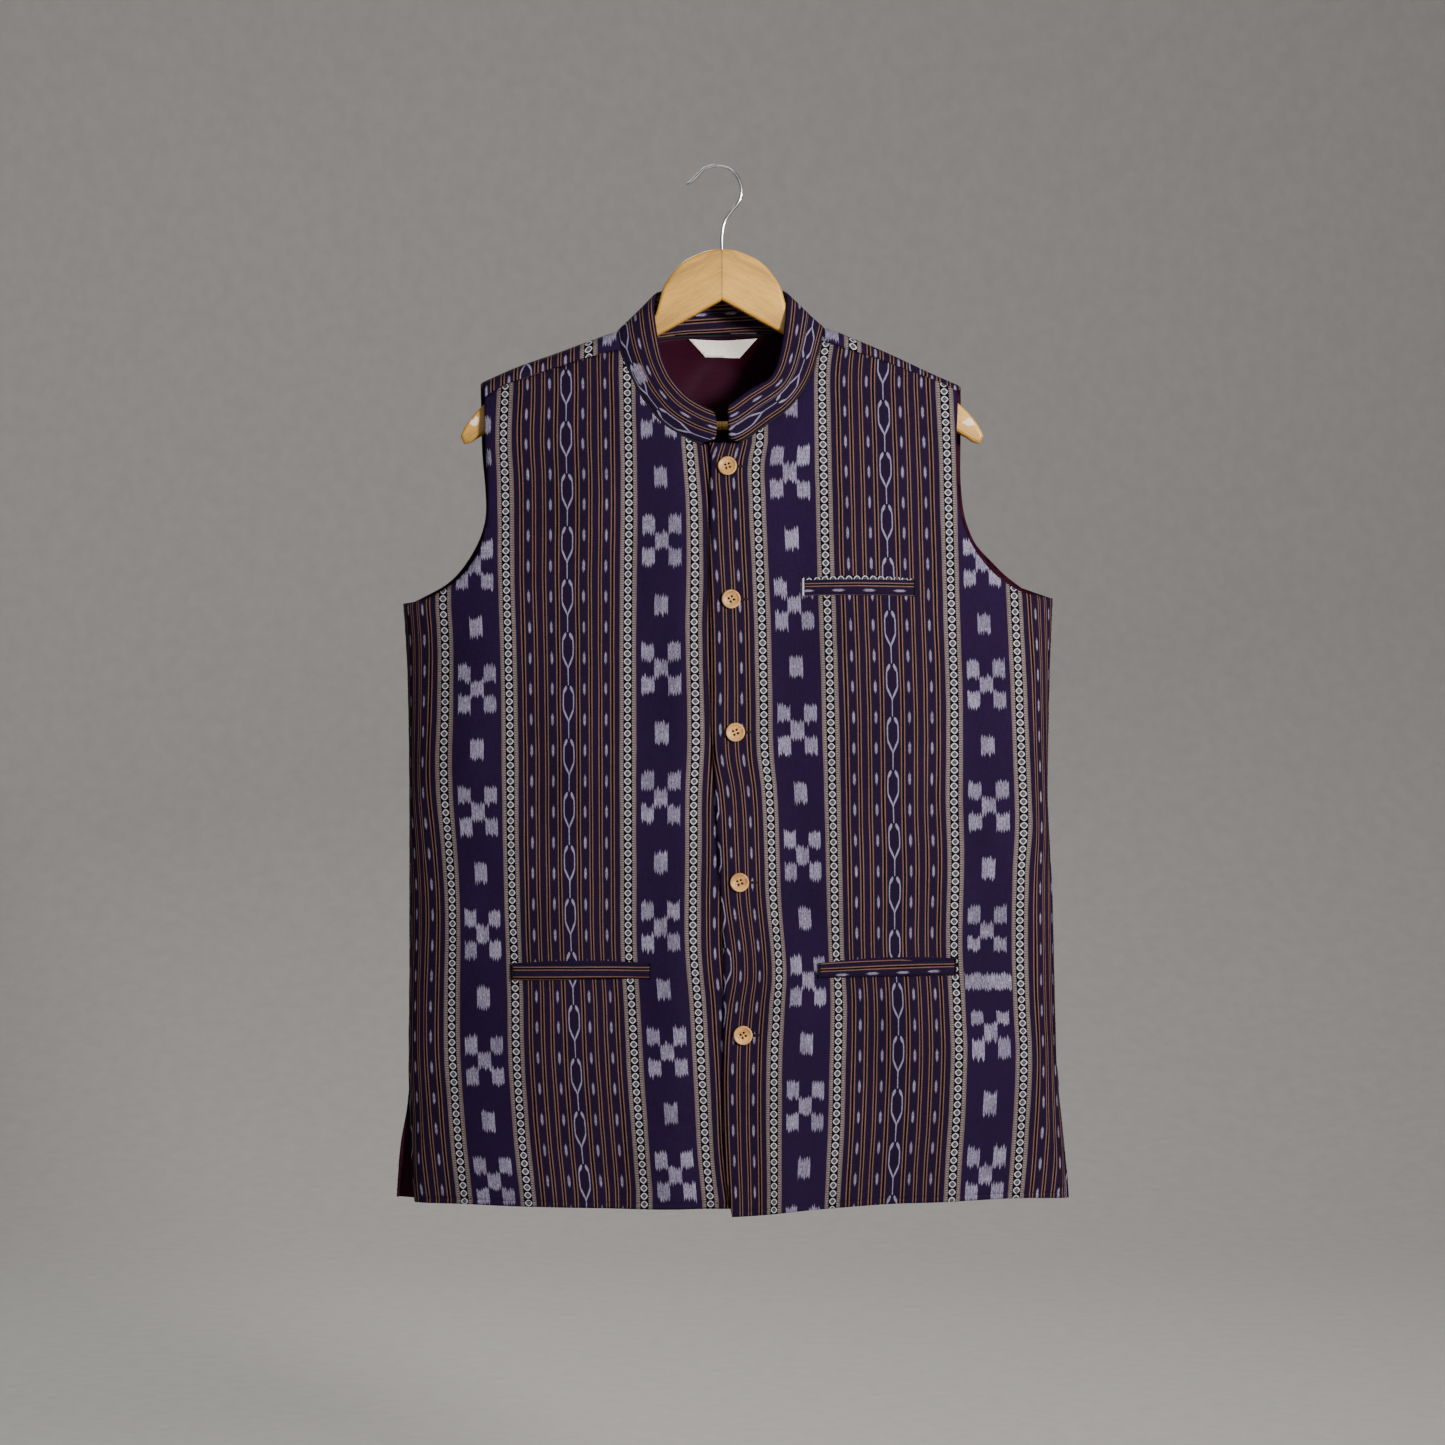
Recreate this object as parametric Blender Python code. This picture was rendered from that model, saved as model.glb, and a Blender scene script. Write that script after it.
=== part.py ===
"""A sleeveless stand-collar jacket on its wooden hanger. X is the viewer's right, Y away, Z up, in metres.

The origin is the inner crown of the hook. The tables are in millimetres and give heights as a drop below it.
Each cloth piece is an outline in its own flat pattern, a mapping of that pattern to the hung surface, and a wall.
"""

import math

import bmesh
import bpy
from mathutils import Vector, geometry

bpy.data.objects.remove(bpy.data.objects["Cube"])

MM = 0.001
CLOTH = 2.0
LINING = 1.0
COLLAR_WALL = 2.6
SEAM = 0.3
CENTRE = 9.0
RIDGE_R = 9.0
QUARTER = RIDGE_R * math.pi / 2
FRONT_DEPTH = 37.0
BACK_DEPTH = 33.0
UNDER_LAP = 3.2
VENT_TOP = 792.0
VENT_HIGH = 84.0

# shoulder line seen from the front: x, drop
RIDGE = [(-260, 206), (-230, 195), (-201.2, 182.6), (-170, 169), (-138.7, 158), (-110, 147.4),
         (-80.6, 137.1), (-40, 126.5), (5, 122.5), (50, 125.8), (92.2, 136), (119, 146.3),
         (149.9, 159.7), (180.6, 174.1), (206.5, 185.5), (235, 198), (260, 209)]
# side seams and, below the vents, the edges of the fronts and of the back: drop, x
SIDE_LEFT = [(300, -268), (370, -267.8), (410, -265), (665, -262.5), (785, -263), (840, -260.5), (900, -257)]
SIDE_RIGHT = [(300, 285.6), (366, 285.6), (400, 284), (500, 281.6), (540, 281.4), (610, 285),
              (690, 287), (770, 289), (812, 294), (900, 298)]
BACK_LEFT = [(300, -268), (370, -267.8), (410, -265), (665, -262.5), (785, -263), (812, -267.5),
             (840, -271.5), (900, -275.5)]
BACK_RIGHT = [(300, 285.6), (366, 285.6), (400, 284), (500, 281.6), (540, 281.4), (610, 285),
              (690, 287), (770, 289), (812, 290), (900, 291)]
# soft folds: x at the top, drop at the top, x at the bottom, drop at the bottom, half width, rise (- is a trough)
FRONT_FOLDS = [
    (-196, 320, -238, 700, 26, 3.0),
    (-232, 420, -222, 900, 20, -3.5),
    (-178, 250, -150, 560, 24, -2.5),
    (-120, 560, -176, 900, 28, 3.0),
    (-84, 210, -60, 480, 22, -2.0),
    (-70, 640, -92, 900, 24, -3.0),
    (-20, 320, -34, 800, 18, 2.2),
    (52, 300, 66, 640, 22, -2.6),
    (60, 680, 46, 900, 24, 3.2),
    (104, 220, 128, 520, 26, 2.4),
    (120, 700, 150, 900, 26, -3.4),
    (196, 300, 206, 600, 24, -3.0),
    (206, 600, 190, 900, 26, 3.4),
    (250, 390, 248, 720, 18, 2.6),
    (262, 700, 274, 900, 16, -3.0),
]
BACK_FOLDS = [
    (-160, 240, -210, 640, 30, 3.0),
    (-190, 560, -150, 900, 26, -3.6),
    (-70, 200, -96, 620, 30, -2.6),
    (-60, 520, -40, 900, 28, 3.4),
    (30, 240, 18, 700, 26, 2.4),
    (96, 420, 120, 900, 30, -3.4),
    (150, 230, 196, 640, 30, 2.8),
    (228, 520, 210, 900, 24, 3.2),
]


def smooth(t):
    t = min(max(t, 0.0), 1.0)
    return t * t * (3 - 2 * t)


def along(table, x):
    """Value of a table at x, by a cubic that keeps the slopes of its neighbours."""
    x = min(max(x, table[0][0]), table[-1][0])
    k = 0
    while k < len(table) - 2 and table[k + 1][0] < x:
        k += 1
    x0, y0 = table[k]
    x1, y1 = table[k + 1]
    chord = (y1 - y0) / (x1 - x0)
    before = (y0 - table[k - 1][1]) / (x0 - table[k - 1][0]) if k else chord
    after = (table[k + 2][1] - y1) / (table[k + 2][0] - x1) if k < len(table) - 2 else chord
    m0 = (before + chord) / 2
    m1 = (chord + after) / 2
    h = x1 - x0
    t = (x - x0) / h
    return (y0 * (1 + 2 * t) + m0 * h * t) * (1 - t) ** 2 + (y1 * (3 - 2 * t) - m1 * h * (1 - t)) * t * t


def out_to_side(x, drop, left, right):
    """0 at the middle of the body, 1 at the side seam."""
    side = along(left, drop) if x < CENTRE else along(right, drop)
    return min(abs((x - CENTRE) / (side - CENTRE)), 1.0)


def lens(t):
    return max(1 - t**2.2, 0.0) ** 0.667


def folded(folds, x, drop):
    total = 0.0
    for x0, d0, x1, d1, half, rise in folds:
        part = (drop - d0) / (d1 - d0)
        if -0.15 < part < 1.0001:
            off = (x - x0 - (x1 - x0) * part) / half
            total += rise * math.exp(-off * off) * smooth((part + 0.15) / 0.4)
    return total


def vent(drop):
    return smooth((drop - VENT_TOP) / VENT_HIGH)


def front_y(x, drop, lap=0.0):
    """Depth of the fronts' outer face. The under front steps back by the lap."""
    t = out_to_side(x, drop, SIDE_LEFT, SIDE_RIGHT)
    d = max(drop - along(RIDGE, x), 0.0)
    s = min(d / 230, 1.0)
    body = RIDGE_R * (1 - t**8) ** 0.5 + FRONT_DEPTH * s * (2 - s) * lens(t)
    body += folded(FRONT_FOLDS, x, drop) * lens(t) * smooth(d / 90)
    return -body - 8 * vent(drop) * t**10 + lap * smooth((x + 36) / 26)


def back_ramp(x, d):
    near_neck = math.exp(-(((x - 2.6) / 62) ** 2))
    s = min(d / (200 - 158 * near_neck), 1.0)
    return s * (2 - s)


def back_point(x, w):
    """The back's pattern: w is the length of cloth from the shoulder line, down the back, or up to the front if under 0."""
    ridge = along(RIDGE, x)
    if w < -QUARTER:
        drop = ridge + RIDGE_R - w - QUARTER
        return Vector((x, front_y(x, drop), -drop))
    if w < QUARTER:
        t = out_to_side(x, ridge + RIDGE_R, BACK_LEFT, BACK_RIGHT)
        drop = ridge + RIDGE_R * (1 - math.cos(w / RIDGE_R))
        d = drop - ridge
        y = RIDGE_R * (1 - t**8) ** 0.5 * math.sin(w / RIDGE_R)
        if w > 0:
            return Vector((x, y + BACK_DEPTH * back_ramp(x, d) * lens(t), -drop))
        s = d / 230
        return Vector((x, y - FRONT_DEPTH * s * (2 - s) * lens(t), -drop))
    drop = ridge + RIDGE_R + w - QUARTER
    t = out_to_side(x, drop, BACK_LEFT, BACK_RIGHT)
    y = RIDGE_R * (1 - t**8) ** 0.5 + BACK_DEPTH * back_ramp(x, drop - ridge) * lens(t)
    y += folded(BACK_FOLDS, x, drop) * lens(t) * smooth((drop - ridge - 60) / 90)
    return Vector((x, y + 6 * vent(drop) * t**10, -drop))


def back_w(x, drop):
    """Pattern length of a point on the back or, with a drop under 0, on the part in front of the shoulder line."""
    d = abs(drop) - along(RIDGE, x)
    if d < RIDGE_R:
        w = RIDGE_R * math.acos(1 - max(d, 0.0) / RIDGE_R)
    else:
        w = QUARTER + d - RIDGE_R
    return math.copysign(w, drop)


def over_point(x, drop):
    return Vector((x, front_y(x, drop), -drop))


def under_point(x, drop):
    return Vector((x, front_y(x, drop, UNDER_LAP), -drop))


def curve_through(points, step):
    """Points about a step apart along a smooth curve through the given ones."""
    found = []
    for k in range(len(points) - 1):
        a = Vector(points[max(k - 1, 0)])
        b = Vector(points[k])
        c = Vector(points[k + 1])
        d = Vector(points[min(k + 2, len(points) - 1)])
        n = max(round((c - b).length / step), 1)
        for i in range(n):
            t = i / n
            found.append(0.5 * (2 * b + (c - a) * t + (2 * a - 5 * b + 4 * c - d) * t * t
                                + (3 * b - a - 3 * c + d) * t**3))
    found.append(Vector(points[-1]))
    return found


def outline_of(sides, step):
    """One closed outline from curves that follow each other."""
    loop = []
    for side in sides:
        loop += curve_through(side, step)[:-1]
    return loop


def inside(loop, x, y):
    found = False
    for k in range(len(loop)):
        a = loop[k - 1]
        b = loop[k]
        if (a[1] > y) != (b[1] > y) and x < a[0] + (b[0] - a[0]) * (y - a[1]) / (b[1] - a[1]):
            found = not found
    return found


def clear_of(loop, x, y, gap_x, gap_y):
    """How far a point keeps from the outline, with the two directions scaled to the grid's steps."""
    p = Vector((x / gap_x, y / gap_y))
    least = 9.0
    for k in range(len(loop)):
        a = Vector((loop[k - 1][0] / gap_x, loop[k - 1][1] / gap_y))
        b = Vector((loop[k][0] / gap_x, loop[k][1] / gap_y))
        ab = b - a
        t = min(max((p - a).dot(ab) / ab.dot(ab), 0.0), 1.0)
        least = min(least, (a + ab * t - p).length)
    return least


def grid_lines(low, high, step):
    n = max(round(abs(high - low) / step), 1)
    return [low + (high - low) * i / n for i in range(n + 1)]


def whole_steps(low, high, step):
    return [step * i for i in range(math.ceil(low / step), math.floor(high / step) + 1)]


def pattern_mesh(loop, step_x, step_y, rows):
    """Points and triangles of a flat piece, the outline's points first. rows adds lines of points where it bends."""
    xs = [p[0] for p in loop]
    ys = [p[1] for p in loop]
    points = [Vector((p[0], p[1])) for p in loop]
    for y in whole_steps(min(ys), max(ys), step_y):
        for x in whole_steps(min(xs) - step_x, max(xs), step_x):
            x += step_x * 0.3 * (round(y / step_y) % 2)
            near_row = any(abs(y - row) < step_y * 0.3 for row in rows)
            if not near_row and inside(loop, x, y) and clear_of(loop, x, y, step_x, step_y) > 0.55:
                points.append(Vector((x, y)))
    for y in rows:
        for x in whole_steps(min(xs), max(xs), step_x):
            if inside(loop, x, y) and clear_of(loop, x, y, step_x, 5.0) > 0.4:
                points.append(Vector((x, y)))
    edges = [(i, (i + 1) % len(loop)) for i in range(len(loop))]
    made = geometry.delaunay_2d_cdt(points, edges, [], 1, 1e-5)
    origin = [ids[0] if ids else -1 for ids in made[3]]
    return made[0], [tuple(face) for face in made[2]], origin


def normal_at(place, x, y):
    e = 0.4
    across = place(x + e, y) - place(x - e, y)
    down = place(x, y + e) - place(x, y - e)
    return across.cross(down).normalized()


def new_object(name, points, faces, smooth_shade=True):
    mesh = bpy.data.meshes.new(name)
    mesh.from_pydata([tuple(v * MM for v in p) for p in points], [], faces)
    mesh.update()
    made = bpy.data.objects.new(name, mesh)
    bpy.context.collection.objects.link(made)
    made.data.materials.append(bpy.data.materials.new(name))
    for face in mesh.polygons:
        face.use_smooth = smooth_shade
    return made


def face_out(made):
    """Turns every face of a closed mesh outward."""
    work = bmesh.new()
    work.from_mesh(made.data)
    bmesh.ops.recalc_face_normals(work, faces=work.faces)
    work.to_mesh(made.data)
    work.free()


def sheet(name, loop, place, outward, wall, steps, lift=0.0, crease=None, rows=()):
    """A cloth wall: the outer face from the mapping, the inner face a wall's thickness inside it.

    outward is 1 where across x down points away from the body. crease gives a seam point's own way in.
    """
    flat, triangles, origin = pattern_mesh(loop, steps[0], steps[1], rows)
    outer = []
    inner = []
    for k, p in enumerate(flat):
        at = place(p[0], p[1])
        normal = normal_at(place, p[0], p[1]) * outward
        way = crease(p[0], p[1], at, normal) if crease and origin[k] < len(loop) else None
        if way is None:
            way = -normal * wall
        raised = at + normal * (lift(p[0], p[1]) if callable(lift) else lift)
        outer.append(raised)
        inner.append(raised + way)
    n = len(flat)
    area = sum((flat[b] - flat[a]).cross(flat[c] - flat[a]) for a, b, c in triangles)
    faces = []
    for a, b, c in triangles:
        if (area > 0) == (outward > 0):
            a, b = b, a
        faces.append((b, a, c))
        faces.append((a + n, b + n, c + n))
    used = {}
    for a, b, c in faces[::2]:
        for edge in ((a, b), (b, c), (c, a)):
            used[edge] = True
    for a, b in used:
        if (b, a) not in used:
            faces.append((b, a, a + n))
            faces.append((b, a + n, b + n))
    return new_object(name, outer + inner, faces)


def front_crease(x, drop, at, normal):
    """At the side seam the inner face runs straight in, so that front and back meet without touching."""
    t = out_to_side(x, drop, SIDE_LEFT, SIDE_RIGHT)
    if t < 0.9985 or drop < 345:
        return None
    inward = Vector((3.2 if x < CENTRE else -3.2, -0.2, 0))
    free = min(vent(drop) * 5, 1.0)
    return inward * (1 - free) + Vector((inward.x * 0.4, 1.7, 0)) * free


def back_crease(x, w, at, normal):
    drop = -at.z
    t = out_to_side(x, drop, BACK_LEFT, BACK_RIGHT)
    if t < 0.9985 or drop < 345:
        return None
    inward = Vector((3.2 if x < CENTRE else -3.2, 0.2, 0))
    free = min(vent(drop) * 5, 1.0)
    return inward * (1 - free) + Vector((inward.x * 0.4, -1.7, 0)) * free


# the neckline, from the seam of each shoulder to the front: x, drop
NECK_LEFT = [(-81.7, 155.9), (-75.0, 172.9), (-67.1, 189.7), (-59.0, 202.8), (-45.0, 219.0),
             (-32.1, 228.6), (-18.8, 234.2), (-6.7, 238.0)]
NECK_RIGHT = [(87.5, 147.4), (83.3, 162.9), (77.2, 180.3), (68.7, 195.0), (58.5, 207.1),
              (44.2, 217.6), (31.0, 228.0), (20.6, 234.6), (14.7, 236.3)]
SEAM_LEFT = [(-197.9, 196.6), (-183.3, 186.4), (-165.8, 180.1), (-148.6, 174.2), (-131.6, 169.1),
             (-113.8, 163.1), (-96.9, 158.6), (-81.7, 155.9)]
SEAM_RIGHT = [(203.2, 190.2), (186.5, 181.6), (159.7, 172.0), (139.1, 164.4), (116.4, 156.8),
              (100.1, 151.9), (87.5, 147.4)]
ARM_LEFT = [(-197.9, 196.6), (-196.7, 223.6), (-195.5, 251.8), (-194.2, 282.0), (-195.2, 300.0), (-199.3, 321.0),
            (-208.0, 338.1), (-222.0, 353.0), (-246.4, 366.6), (-267.8, 370.4)]
ARM_RIGHT = [(203.2, 190.2), (203.6, 204.0), (202.4, 226.0), (202.0, 253.9), (202.8, 274.6), (204.8, 295.2),
             (209.9, 311.5), (218.5, 327.8), (229.5, 341.5), (242.9, 353.0), (260.0, 361.6), (285.6, 366.0)]
BACK_ARM_LEFT = [(-201.3, 240.0), (-199.0, 270.0), (-198.6, 292.0), (-202.0, 308.5), (-208.8, 324.0),
                 (-219.5, 340.5), (-232.0, 353.0), (-250.0, 363.5), (-267.8, 370.4)]
BACK_ARM_RIGHT = [(207.8, 235.0), (208.0, 262.0), (210.5, 288.0), (215.0, 305.0), (222.1, 319.6),
                  (233.4, 332.1), (246.5, 345.5), (262.0, 357.0), (285.6, 366.0)]
HEM_LEFT = [(-257.0, 877.4), (-216.9, 877.2), (-159.9, 877.8), (-117.7, 878.5), (-55.6, 879.3),
            (-13.7, 879.0), (36.0, 878.6)]
HEM_RIGHT = [(12.2, 885.4), (36.1, 883.7), (76.7, 879.9), (127.6, 876.3), (168.3, 874.6),
             (209.5, 873.3), (251.1, 872.3), (297.9, 873.8)]
EDGE_OVER = [(-6.5, 236.0), (-6.0, 259.2), (-6.5, 287.9), (-6.5, 355.0), (-5.4, 436.2), (-4.7, 477.2),
             (-2.4, 517.4), (-0.4, 558.0), (1.5, 598.5), (3.2, 622.8), (4.7, 663.8), (5.3, 704.0),
             (4.7, 745.0), (4.2, 785.2), (5.4, 825.9), (9.0, 866.4), (12.2, 885.4)]
EDGE_UNDER = [(23.8, 240.5), (26.0, 300.0), (28.0, 440.0), (31.0, 600.0), (34.0, 760.0), (36.0, 878.6)]
BACK_HEM = 875.0
BACK_ROWS = (-19.0, -13.5, -9.0, -4.5, 0.0, 4.5, 9.0, 13.5, 19.0, 44.0)
# the collar, from its right front end round the back to the left: foot x, foot drop, top x, top drop, top y.
# A foot drop under 20 is a length w on the back's pattern.
COLLAR = [
    (8.6, 239.0, 8.2, 204.5, -36.6),
    (22.5, 233.4, 12.5, 202.4, -36.0),
    (44.2, 217.6, 24.5, 193.2, -33.0),
    (58.5, 207.1, 35.0, 186.4, -30.5),
    (68.7, 195.0, 43.8, 180.8, -27.5),
    (77.2, 180.3, 50.0, 169.5, -24.0),
    (83.3, 162.9, 54.0, 153.5, -18.5),
    (87.5, 147.4, 56.6, 137.0, -14.5),
    (90.6, -4.0, 58.4, 118.5, -8.0),
    (90.0, 6.0, 58.6, 105.5, 1.0),
    (82.0, 14.5, 53.0, 102.0, 14.0),
    (62.0, 19.3, 43.0, 99.6, 24.0),
    (34.0, 21.4, 24.0, 98.2, 33.5),
    (2.6, 22.0, 2.6, 97.6, 38.0),
    (-29.0, 21.4, -19.0, 98.2, 34.0),
    (-57.0, 19.3, -38.0, 99.6, 24.5),
    (-77.0, 14.5, -48.5, 102.4, 14.5),
    (-84.6, 6.0, -53.4, 107.0, 1.5),
    (-85.2, -4.0, -54.0, 119.0, -7.5),
    (-81.7, 155.9, -51.4, 140.0, -15.5),
    (-75.0, 172.9, -47.6, 160.0, -20.5),
    (-67.1, 189.7, -42.0, 175.0, -25.5),
    (-59.0, 202.8, -35.0, 186.0, -29.0),
    (-45.0, 219.0, -24.5, 197.2, -32.0),
    (-24.0, 232.3, -11.0, 205.6, -34.6),
    (-0.6, 240.5, -0.6, 210.0, -35.4),
]


def collar_foot(row):
    x, foot = row[0], row[1]
    if abs(foot) < 60:
        return back_point(x, foot)
    return under_point(x, foot) if x < 0 else over_point(x, foot)


FEET = [collar_foot(row) for row in COLLAR]
TOPS = [Vector((row[2], row[4], -row[3])) for row in COLLAR]


def through(points, u):
    """A point on the smooth curve through the given ones, at u from 0 to their count less 1."""
    u = min(max(u, 0.0), len(points) - 1.0001)
    k = int(u)
    t = u - k
    b = points[k]
    c = points[k + 1]
    a = points[k - 1] if k else b * 2 - c
    d = points[k + 2] if k + 2 < len(points) else c * 2 - b
    return 0.5 * (2 * b + (c - a) * t + (2 * a - 5 * b + 4 * c - d) * t * t + (3 * b - a - 3 * c + d) * t**3)


LENGTHS = [0.0]
for ROW in range(1, len(COLLAR)):
    STEP = ((FEET[ROW] - FEET[ROW - 1]).length + (TOPS[ROW] - TOPS[ROW - 1]).length) / 2
    LENGTHS.append(LENGTHS[-1] + STEP)
COLLAR_LONG = LENGTHS[-1]
COLLAR_HIGH = 36.0


def collar_point(s, v):
    """The collar's pattern: s runs along the band, v from its foot to its top."""
    s = min(max(s, 0.0), COLLAR_LONG)
    k = 0
    while k < len(LENGTHS) - 2 and LENGTHS[k + 1] < s:
        k += 1
    u = k + (s - LENGTHS[k]) / (LENGTHS[k + 1] - LENGTHS[k])
    foot = through(FEET, u)
    top = through(TOPS, u)
    part = v / COLLAR_HIGH
    bow = 1.2 * math.sin(math.pi * min(max(part, 0.0), 1.0))
    middle = (foot + top) / 2
    away = Vector((middle.x - 2.6, middle.y, 0)).normalized()
    return foot.lerp(top, part) + away * bow


def pushed(points, dx, dy):
    return [(x + dx, y + dy) for x, y in points]


def off_neck(points, gap, centre):
    """A neckline moved out from the collar by a gap."""
    found = []
    for k, p in enumerate(points):
        a = Vector(points[max(k - 1, 0)])
        b = Vector(points[min(k + 1, len(points) - 1)])
        side = Vector(((b - a).y, (a - b).x)).normalized()
        if side.dot(Vector(p) - Vector(centre)) < 0:
            side = -side
        found.append((p[0] + side.x * gap, p[1] + side.y * gap))
    return found


def side_line(table, top, bottom, steps):
    return [(along(table, d), d) for d in grid_lines(top, bottom, steps)]


NECK_MIDDLE = (2.6, 150.0)


def build_fronts():
    right_neck = off_neck(NECK_RIGHT, 0.5, NECK_MIDDLE)
    sides = [
        [right_neck[-1], EDGE_OVER[0]],
        EDGE_OVER,
        HEM_RIGHT,
        side_line(SIDE_RIGHT, 873.8, 366.0, 42),
        list(reversed(ARM_RIGHT)),
        [ARM_RIGHT[0]] + pushed(SEAM_RIGHT, 0, 0.25)[1:-1] + [right_neck[0]],
        right_neck,
    ]
    sides[3][0] = HEM_RIGHT[-1]
    sides[3][-1] = ARM_RIGHT[-1]
    sheet("front_left", outline_of(sides, 16), over_point, -1, CLOTH, (15, 25), 0, front_crease)
    left_neck = off_neck(NECK_LEFT, 0.5, NECK_MIDDLE)
    sides = [
        [left_neck[-1], EDGE_UNDER[0]],
        EDGE_UNDER,
        list(reversed(HEM_LEFT)),
        side_line(SIDE_LEFT, 877.4, 370.4, 42),
        list(reversed(ARM_LEFT)),
        [ARM_LEFT[0]] + pushed(SEAM_LEFT, 0, 0.25)[1:-1] + [left_neck[0]],
        left_neck,
    ]
    sides[3][0] = HEM_LEFT[0]
    sides[3][-1] = ARM_LEFT[-1]
    sheet("front_right", outline_of(sides, 16), under_point, -1, CLOTH, (15, 25), 0, front_crease)


def on_back(points):
    return [(x, back_w(x, drop)) for x, drop in points]


def back_outline(inset, side_inset, top_left, top_right, step):
    """The back's pattern outline. The lining's is the same one, smaller."""
    foot = [(row[0], row[1] if abs(row[1]) < 60 else back_w(row[0], -row[1])) for row in COLLAR[7:20]]
    neck = off_neck(foot, 0.5 + inset, (2.6, -30))
    hem_left = (along(BACK_LEFT, BACK_HEM) + inset, BACK_HEM - inset)
    hem_right = (along(BACK_RIGHT, BACK_HEM) - inset, BACK_HEM - inset)
    right = [(along(BACK_RIGHT, d) - side_inset(d), d) for d in grid_lines(366.0, BACK_HEM - inset, 42)]
    left = [(along(BACK_LEFT, d) + side_inset(d), d) for d in grid_lines(BACK_HEM - inset, 370.4, 42)]
    right[-1] = hem_right
    left[0] = hem_left
    arm_left = [(x + inset, d + inset * 0.6) for x, d in BACK_ARM_LEFT]
    arm_right = [(x - inset, d + inset * 0.6) for x, d in BACK_ARM_RIGHT]
    arm_left[-1] = left[-1]
    arm_right[-1] = right[0]
    hem = [(hem_right[0] + (hem_left[0] - hem_right[0]) * i / 20, BACK_HEM - inset) for i in range(21)]
    return [
        top_right + on_back(arm_right),
        on_back(right),
        on_back(hem),
        on_back(left),
        list(reversed(top_left + on_back(arm_left))),
    ], neck


def build_back():
    tip_left = [(-197.9, back_w(-197.9, -196.1)), (-200.4, -9.0), (-201.6, 0.0), (-202.0, 9.0), (-201.8, 24.0)]
    tip_right = [(203.2, back_w(203.2, -189.7)), (205.8, -8.0), (206.9, 0.0), (207.4, 9.0), (207.6, 22.0)]
    sides, neck = back_outline(0.0, lambda drop: 0.0, tip_left, tip_right, 16)
    seam_left = [(x, back_w(x, -drop) + 0.25) for x, drop in SEAM_LEFT]
    seam_right = [(x, back_w(x, -drop) + 0.25) for x, drop in SEAM_RIGHT]
    seam_left[0] = tip_left[0]
    seam_right[0] = tip_right[0]
    neck[0] = (neck[0][0], seam_right[-1][1])
    neck[-1] = (neck[-1][0], seam_left[-1][1])
    seam_left[-1] = neck[-1]
    seam_right[-1] = neck[0]
    sides += [seam_left, list(reversed(neck)), list(reversed(seam_right))]
    sheet("back", outline_of(sides, 15), back_point, 1, CLOTH, (17, 30), 0, back_crease, BACK_ROWS)


def lining_side(drop):
    """The lining keeps inside the side seams, and follows the back to its edge in the vents."""
    return 20.0 - 11.0 * smooth((drop - VENT_TOP - 12) / 40)


def lining_lift(x, w):
    """How far inside the back's outer face the lining hangs: a little deeper under the neck, where the back curves."""
    near_neck = math.exp(-(((x - 2.6) / 70) ** 2)) * (1 - smooth((w - 30) / 60))
    t = out_to_side(x, w + along(RIDGE, x), BACK_LEFT, BACK_RIGHT)
    return -(CLOTH + 0.9 + 2.2 * near_neck + 2.6 * smooth((t - 0.84) / 0.1))


def label_lift(x, drop):
    return lining_lift(x, back_w(x, drop)) - LINING - 2.4


def build_lining():
    top_left = [(-196.0, 26.0)]
    top_right = [(202.0, 26.0)]
    sides, neck = back_outline(2.6, lining_side, top_left, top_right, 20)
    yoke = [(-196.0, 26.0), (-150.0, 26.0), (-100.0, 25.5), (-84.0, 25.5), (-62.0, 24.8), (-30.0, 25.2),
            (2.6, 25.6), (34.0, 25.2), (66.0, 24.8), (88.0, 25.5), (110.0, 25.5), (155.0, 26.0), (202.0, 26.0)]
    sides.append(yoke)
    sheet("back_lining", outline_of(sides, 17), back_point, 1, LINING, (17, 30), lining_lift, None, (44.0,))


def build_collar():
    long, high, cut = COLLAR_LONG, COLLAR_HIGH, 9.0
    sides = [
        [(1.0, 6.0), (7.0, 0.4)],
        [(7.0, 0.4), (long - 9.0, 0.4)],
        [(long - 9.0, 0.4), (long - 1.5, 8.0), (long, 15.0)],
        [(long, 15.0), (long, high - cut)],
        [(long, high - cut), (long - 2.4, high - 3.0), (long - cut, high)],
        [(long - cut, high), (6.0, high)],
        [(6.0, high), (1.6, high - 1.8), (0.0, high - 7.0)],
        [(0.0, high - 7.0), (1.0, 6.0)],
    ]
    sheet("collar", outline_of(sides, 8), collar_point, 1, COLLAR_WALL, (8, 9))


def band(name, top, bottom, place, low, high):
    """A welt: a doubled strip laid on a front, a seam's gap above it."""
    sides = [top, [top[-1], bottom[-1]], list(reversed(bottom)), [bottom[0], top[0]]]
    sheet(name, outline_of(sides, 6.5), place, -1, high - low, (9, 6), high)


def build_welts():
    band("welt_breast", [(71.9, 352.0), (118.0, 351.4), (165.4, 352.0)],
         [(71.9, 364.9), (118.0, 364.5), (165.4, 365.2)], over_point, 0.35, 2.2)
    band("welt_lower_left", [(85.2, 673.9), (140.0, 671.6), (199.6, 670.2)],
         [(85.2, 685.0), (140.0, 684.2), (199.6, 683.6)], over_point, 0.35, 2.2)
    band("welt_lower_right", [(-171.9, 674.6), (-115.0, 674.0), (-55.4, 674.2)],
         [(-171.9, 687.6), (-115.0, 686.6), (-55.4, 685.4)], under_point, 0.35, 2.2)


def ring(count, radius, turn=0.0):
    return [(radius * math.cos(turn + 2 * math.pi * k / count), radius * math.sin(turn + 2 * math.pi * k / count))
            for k in range(count)]


BUTTONS = [(8.4, 256.4), (11.4, 368.0), (15.0, 479.5), (18.5, 605.1), (21.5, 733.0)]
BUTTON_R = 8.0
BUTTON_HIGH = 3.2
HOLE_R = 0.85
HOLE_OUT = 1.9
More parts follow.
